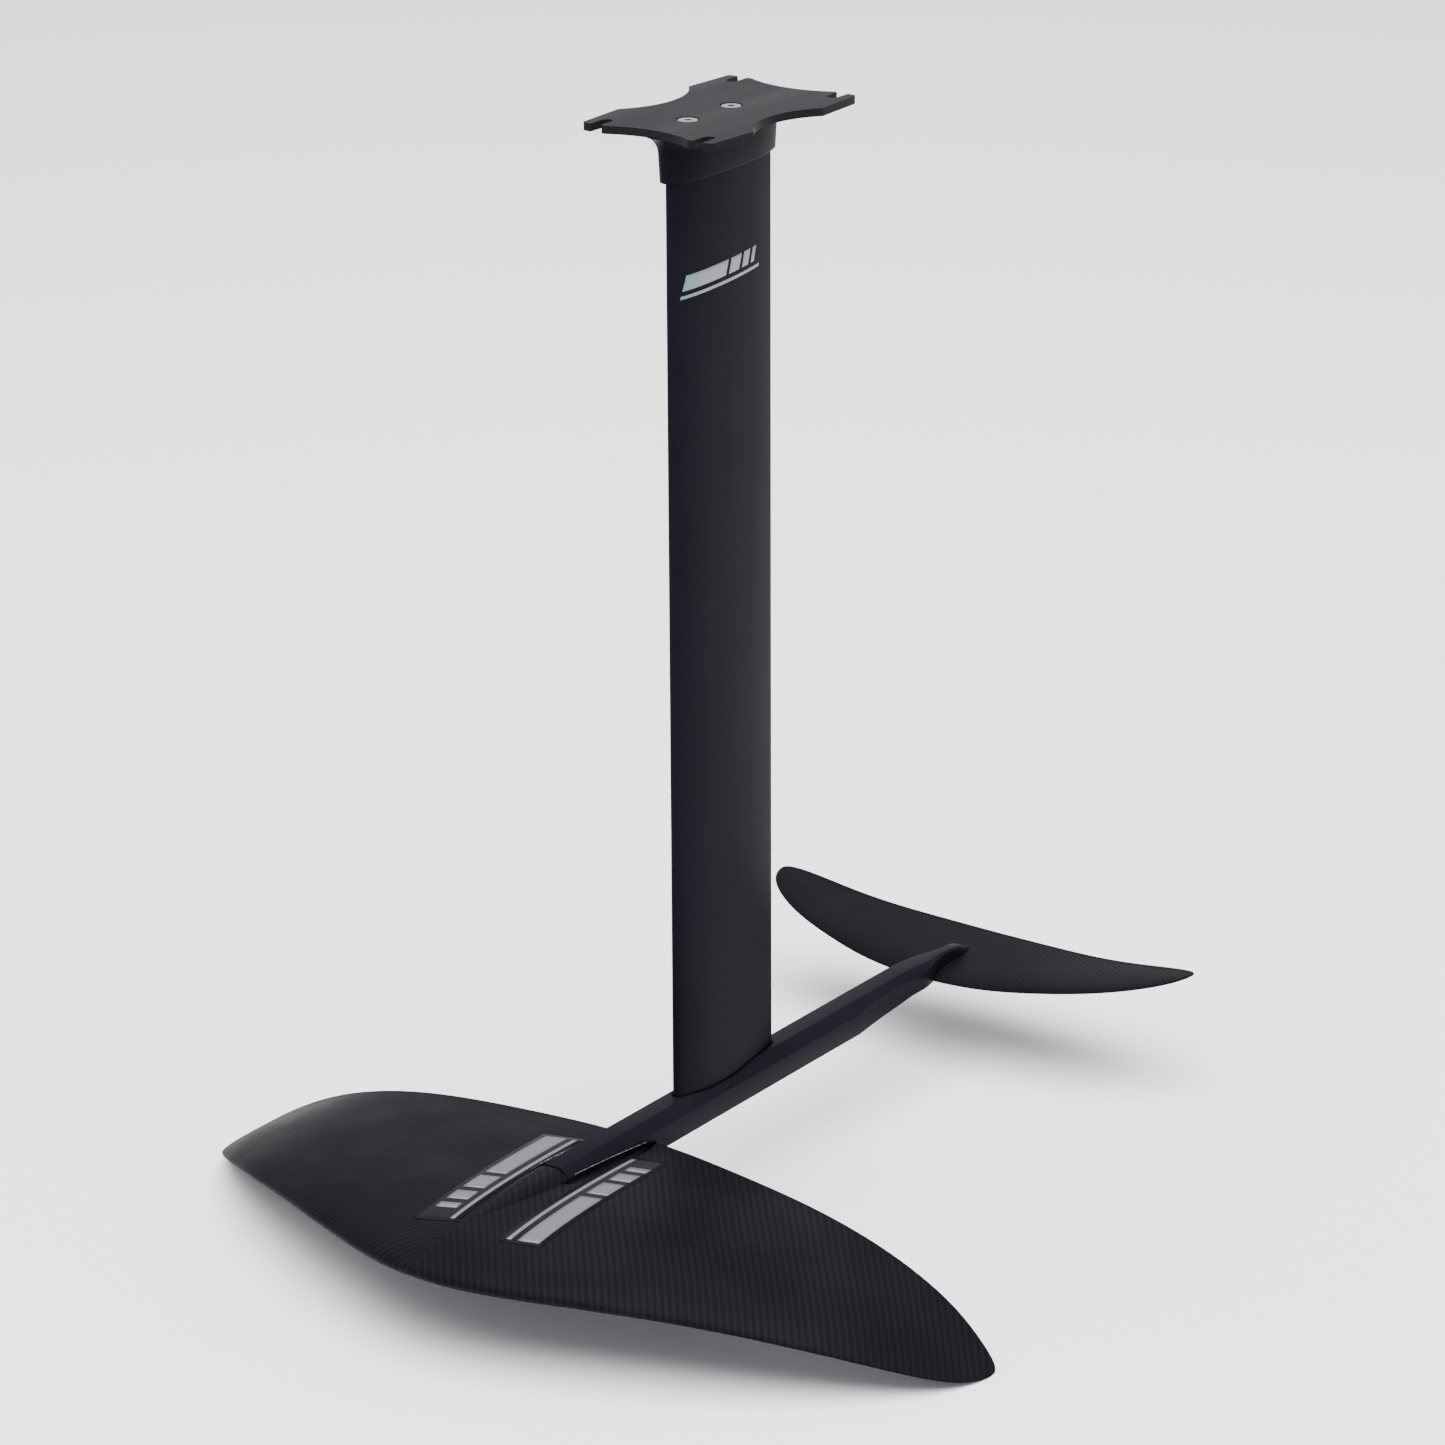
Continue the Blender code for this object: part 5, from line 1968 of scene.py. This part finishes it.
@dataclass
class Studio:
    """A plain pale floor, soft light and the camera."""

    lens: float = 128.94
    film_width: float = 36.0
    clip: Flat = (0.05, 60.0)
    place: Point = (2.9590, 2.1439, 0.8770)
    yaw_deg: float = 35.934
    pitch_deg: float = 20.263
    roll_deg: float = -0.2543
    floor_drop: float = 0.6 * MM
    floor_reach: float = 16.0
    floor_tone: Tone = (0.93, 0.93, 0.93)
    sky_tone: Tone = (0.93, 0.94, 1.0)
    sky_strength: float = 0.95
    aim: Point = (0.0, 0.0, -0.5)
    boxes: tuple[SoftBox, ...] = (SoftBox("top_box", (0.9, 0.7, 4.4), 7.0, 1050.0),
                                  SoftBox("far_box", (-3.2, -2.5, 1.1), 1.8, 9.0))

    def build_camera(self) -> None:
        """Create the camera and make it the scene's own."""
        yaw, pitch, roll = (math.radians(v) for v in (self.yaw_deg, self.pitch_deg, self.roll_deg))
        ahead = Vector((-math.cos(yaw) * math.cos(pitch), -math.sin(yaw) * math.cos(pitch),
                        -math.sin(pitch)))
        level = Vector((-math.sin(yaw), math.cos(yaw), 0.0))
        upright = level.cross(ahead)
        right = level * math.cos(roll) + upright * math.sin(roll)
        top = upright * math.cos(roll) - level * math.sin(roll)
        data = bpy.data.cameras.new("camera")
        data.lens = self.lens
        data.sensor_width = self.film_width
        data.clip_start, data.clip_end = self.clip
        camera = bpy.data.objects.new("camera", data)
        bpy.context.scene.collection.objects.link(camera)
        turn = Matrix((right, top, -ahead)).transposed()
        camera.matrix_world = Matrix.Translation(self.place) @ turn.to_4x4()
        bpy.context.scene.camera = camera

    def build_floor(self) -> None:
        """Lay the pale floor just under the lowest point."""
        low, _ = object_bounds()
        z = low.z - self.floor_drop
        reach = self.floor_reach
        corners = [(-reach, -reach, z), (reach, -reach, z), (reach, reach, z), (-reach, reach, z)]
        floor = mesh_object("floor", corners, [(0, 1, 2, 3)], self.floor_paint())
        floor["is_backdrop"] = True

    def floor_paint(self) -> bpy.types.Material:
        """Return the floor's plain pale paint.

        Returns:
            The new material.
        """
        paint = bpy.data.materials.new("pale_floor")
        paint.use_nodes = True
        shader = paint.node_tree.nodes["Principled BSDF"]
        shader.inputs["Base Color"].default_value = (*self.floor_tone, 1.0)
        shader.inputs["Roughness"].default_value = 0.9
        shader.inputs["Specular IOR Level"].default_value = 0.0
        return paint

    def build_lights(self) -> None:
        """Hang the soft boxes and set the even surround."""
        world = bpy.data.worlds.new("surround")
        world.use_nodes = True
        sky = world.node_tree.nodes["Background"]
        sky.inputs["Color"].default_value = (*self.sky_tone, 1.0)
        sky.inputs["Strength"].default_value = self.sky_strength
        bpy.context.scene.world = world
        for box in self.boxes:
            box.hang(self.aim)

    def build(self) -> None:
        """Set up the whole studio."""
        self.build_camera()
        self.build_floor()
        self.build_lights()


# ---------------------------------------------------------------- the set

def report(piece: bpy.types.Object) -> None:
    """Log a finished piece and its size."""
    LOG.info("%s: %s mm", piece.name, [round(v * 1000, 1) for v in piece.dimensions])


def main() -> None:
    """Build every sub-assembly in order, then the studio."""
    logging.basicConfig(level=logging.INFO, format="%(name)s %(message)s")
    steel = STAINLESS.material()
    plate, collar = ANODISED_PLATE.material(), ANODISED_COLLAR.material()
    strut, bar = ANODISED_STRUT.material(), ANODISED_BAR.material()
    wing_carbon, tail_carbon = WING_CARBON.material(), TAIL_CARBON.material()
    # The black resin's near-black, almost unreflecting finish is partly painted shade.
    # The sealant's bright flecks are painted glints.
    resin, sealant = BLACK_RESIN_PAINTED_SHADE.material(), SEAM_SEALANT_PAINTED_GLINTS.material()
    rubber, foam, laminate = (BLACK_RUBBER.material(), CORE_FOAM.material(),
                              GLASS_LAMINATE.material())
    aluminium = MACHINED_ALUMINIUM.material()
    mast_silver, wing_silver = MAST_SILVER.material(), WING_SILVER.material()
    film = CLEAR_FILM.material()

    section = StrutSection()
    MastHead(plate, collar, steel, section).build()
    Mast(strut, section).build()
    Fuselage(bar, steel, section).build()
    FrontWing(wing_carbon, resin, sealant, steel, FRONT_WING).build()
    Tail(tail_carbon, steel, STABILIZER).build()
    StripeTransfer("mast_transfer", 98 * MM, 17 * MM, MastSpot(section).lay, mast_silver).build()
    spots = {Side.PORT: WingSpot(322 * MM, 38 * MM, -1, -0.075),
             Side.STARBOARD: WingSpot(151 * MM, -28 * MM, 1, 0.095)}
    for side, spot in spots.items():
        name = side.name.lower()
        FilmPatch(f"wing_film_{name}", 168 * MM, 24 * MM, spot.lay, film).build()
        StripeTransfer(f"wing_transfer_{name}", 168 * MM, 24 * MM, spot.lay, wing_silver).build()

    for material, nodes in (
            (aluminium, ("mast_head_block", "mast_foot_block")),
            (steel, ("fuselage_insert_front", "fuselage_insert_middle", "fuselage_insert_rear")),
            (foam, ("front_wing_core_port", "front_wing_core_starboard")),
            (laminate, ("front_wing_bolt_block",)), (rubber, ("mast_foot_seal",))):
        for node in nodes:
            dress(node, material)
    Studio().build()


if __name__ == "__main__":
    main()
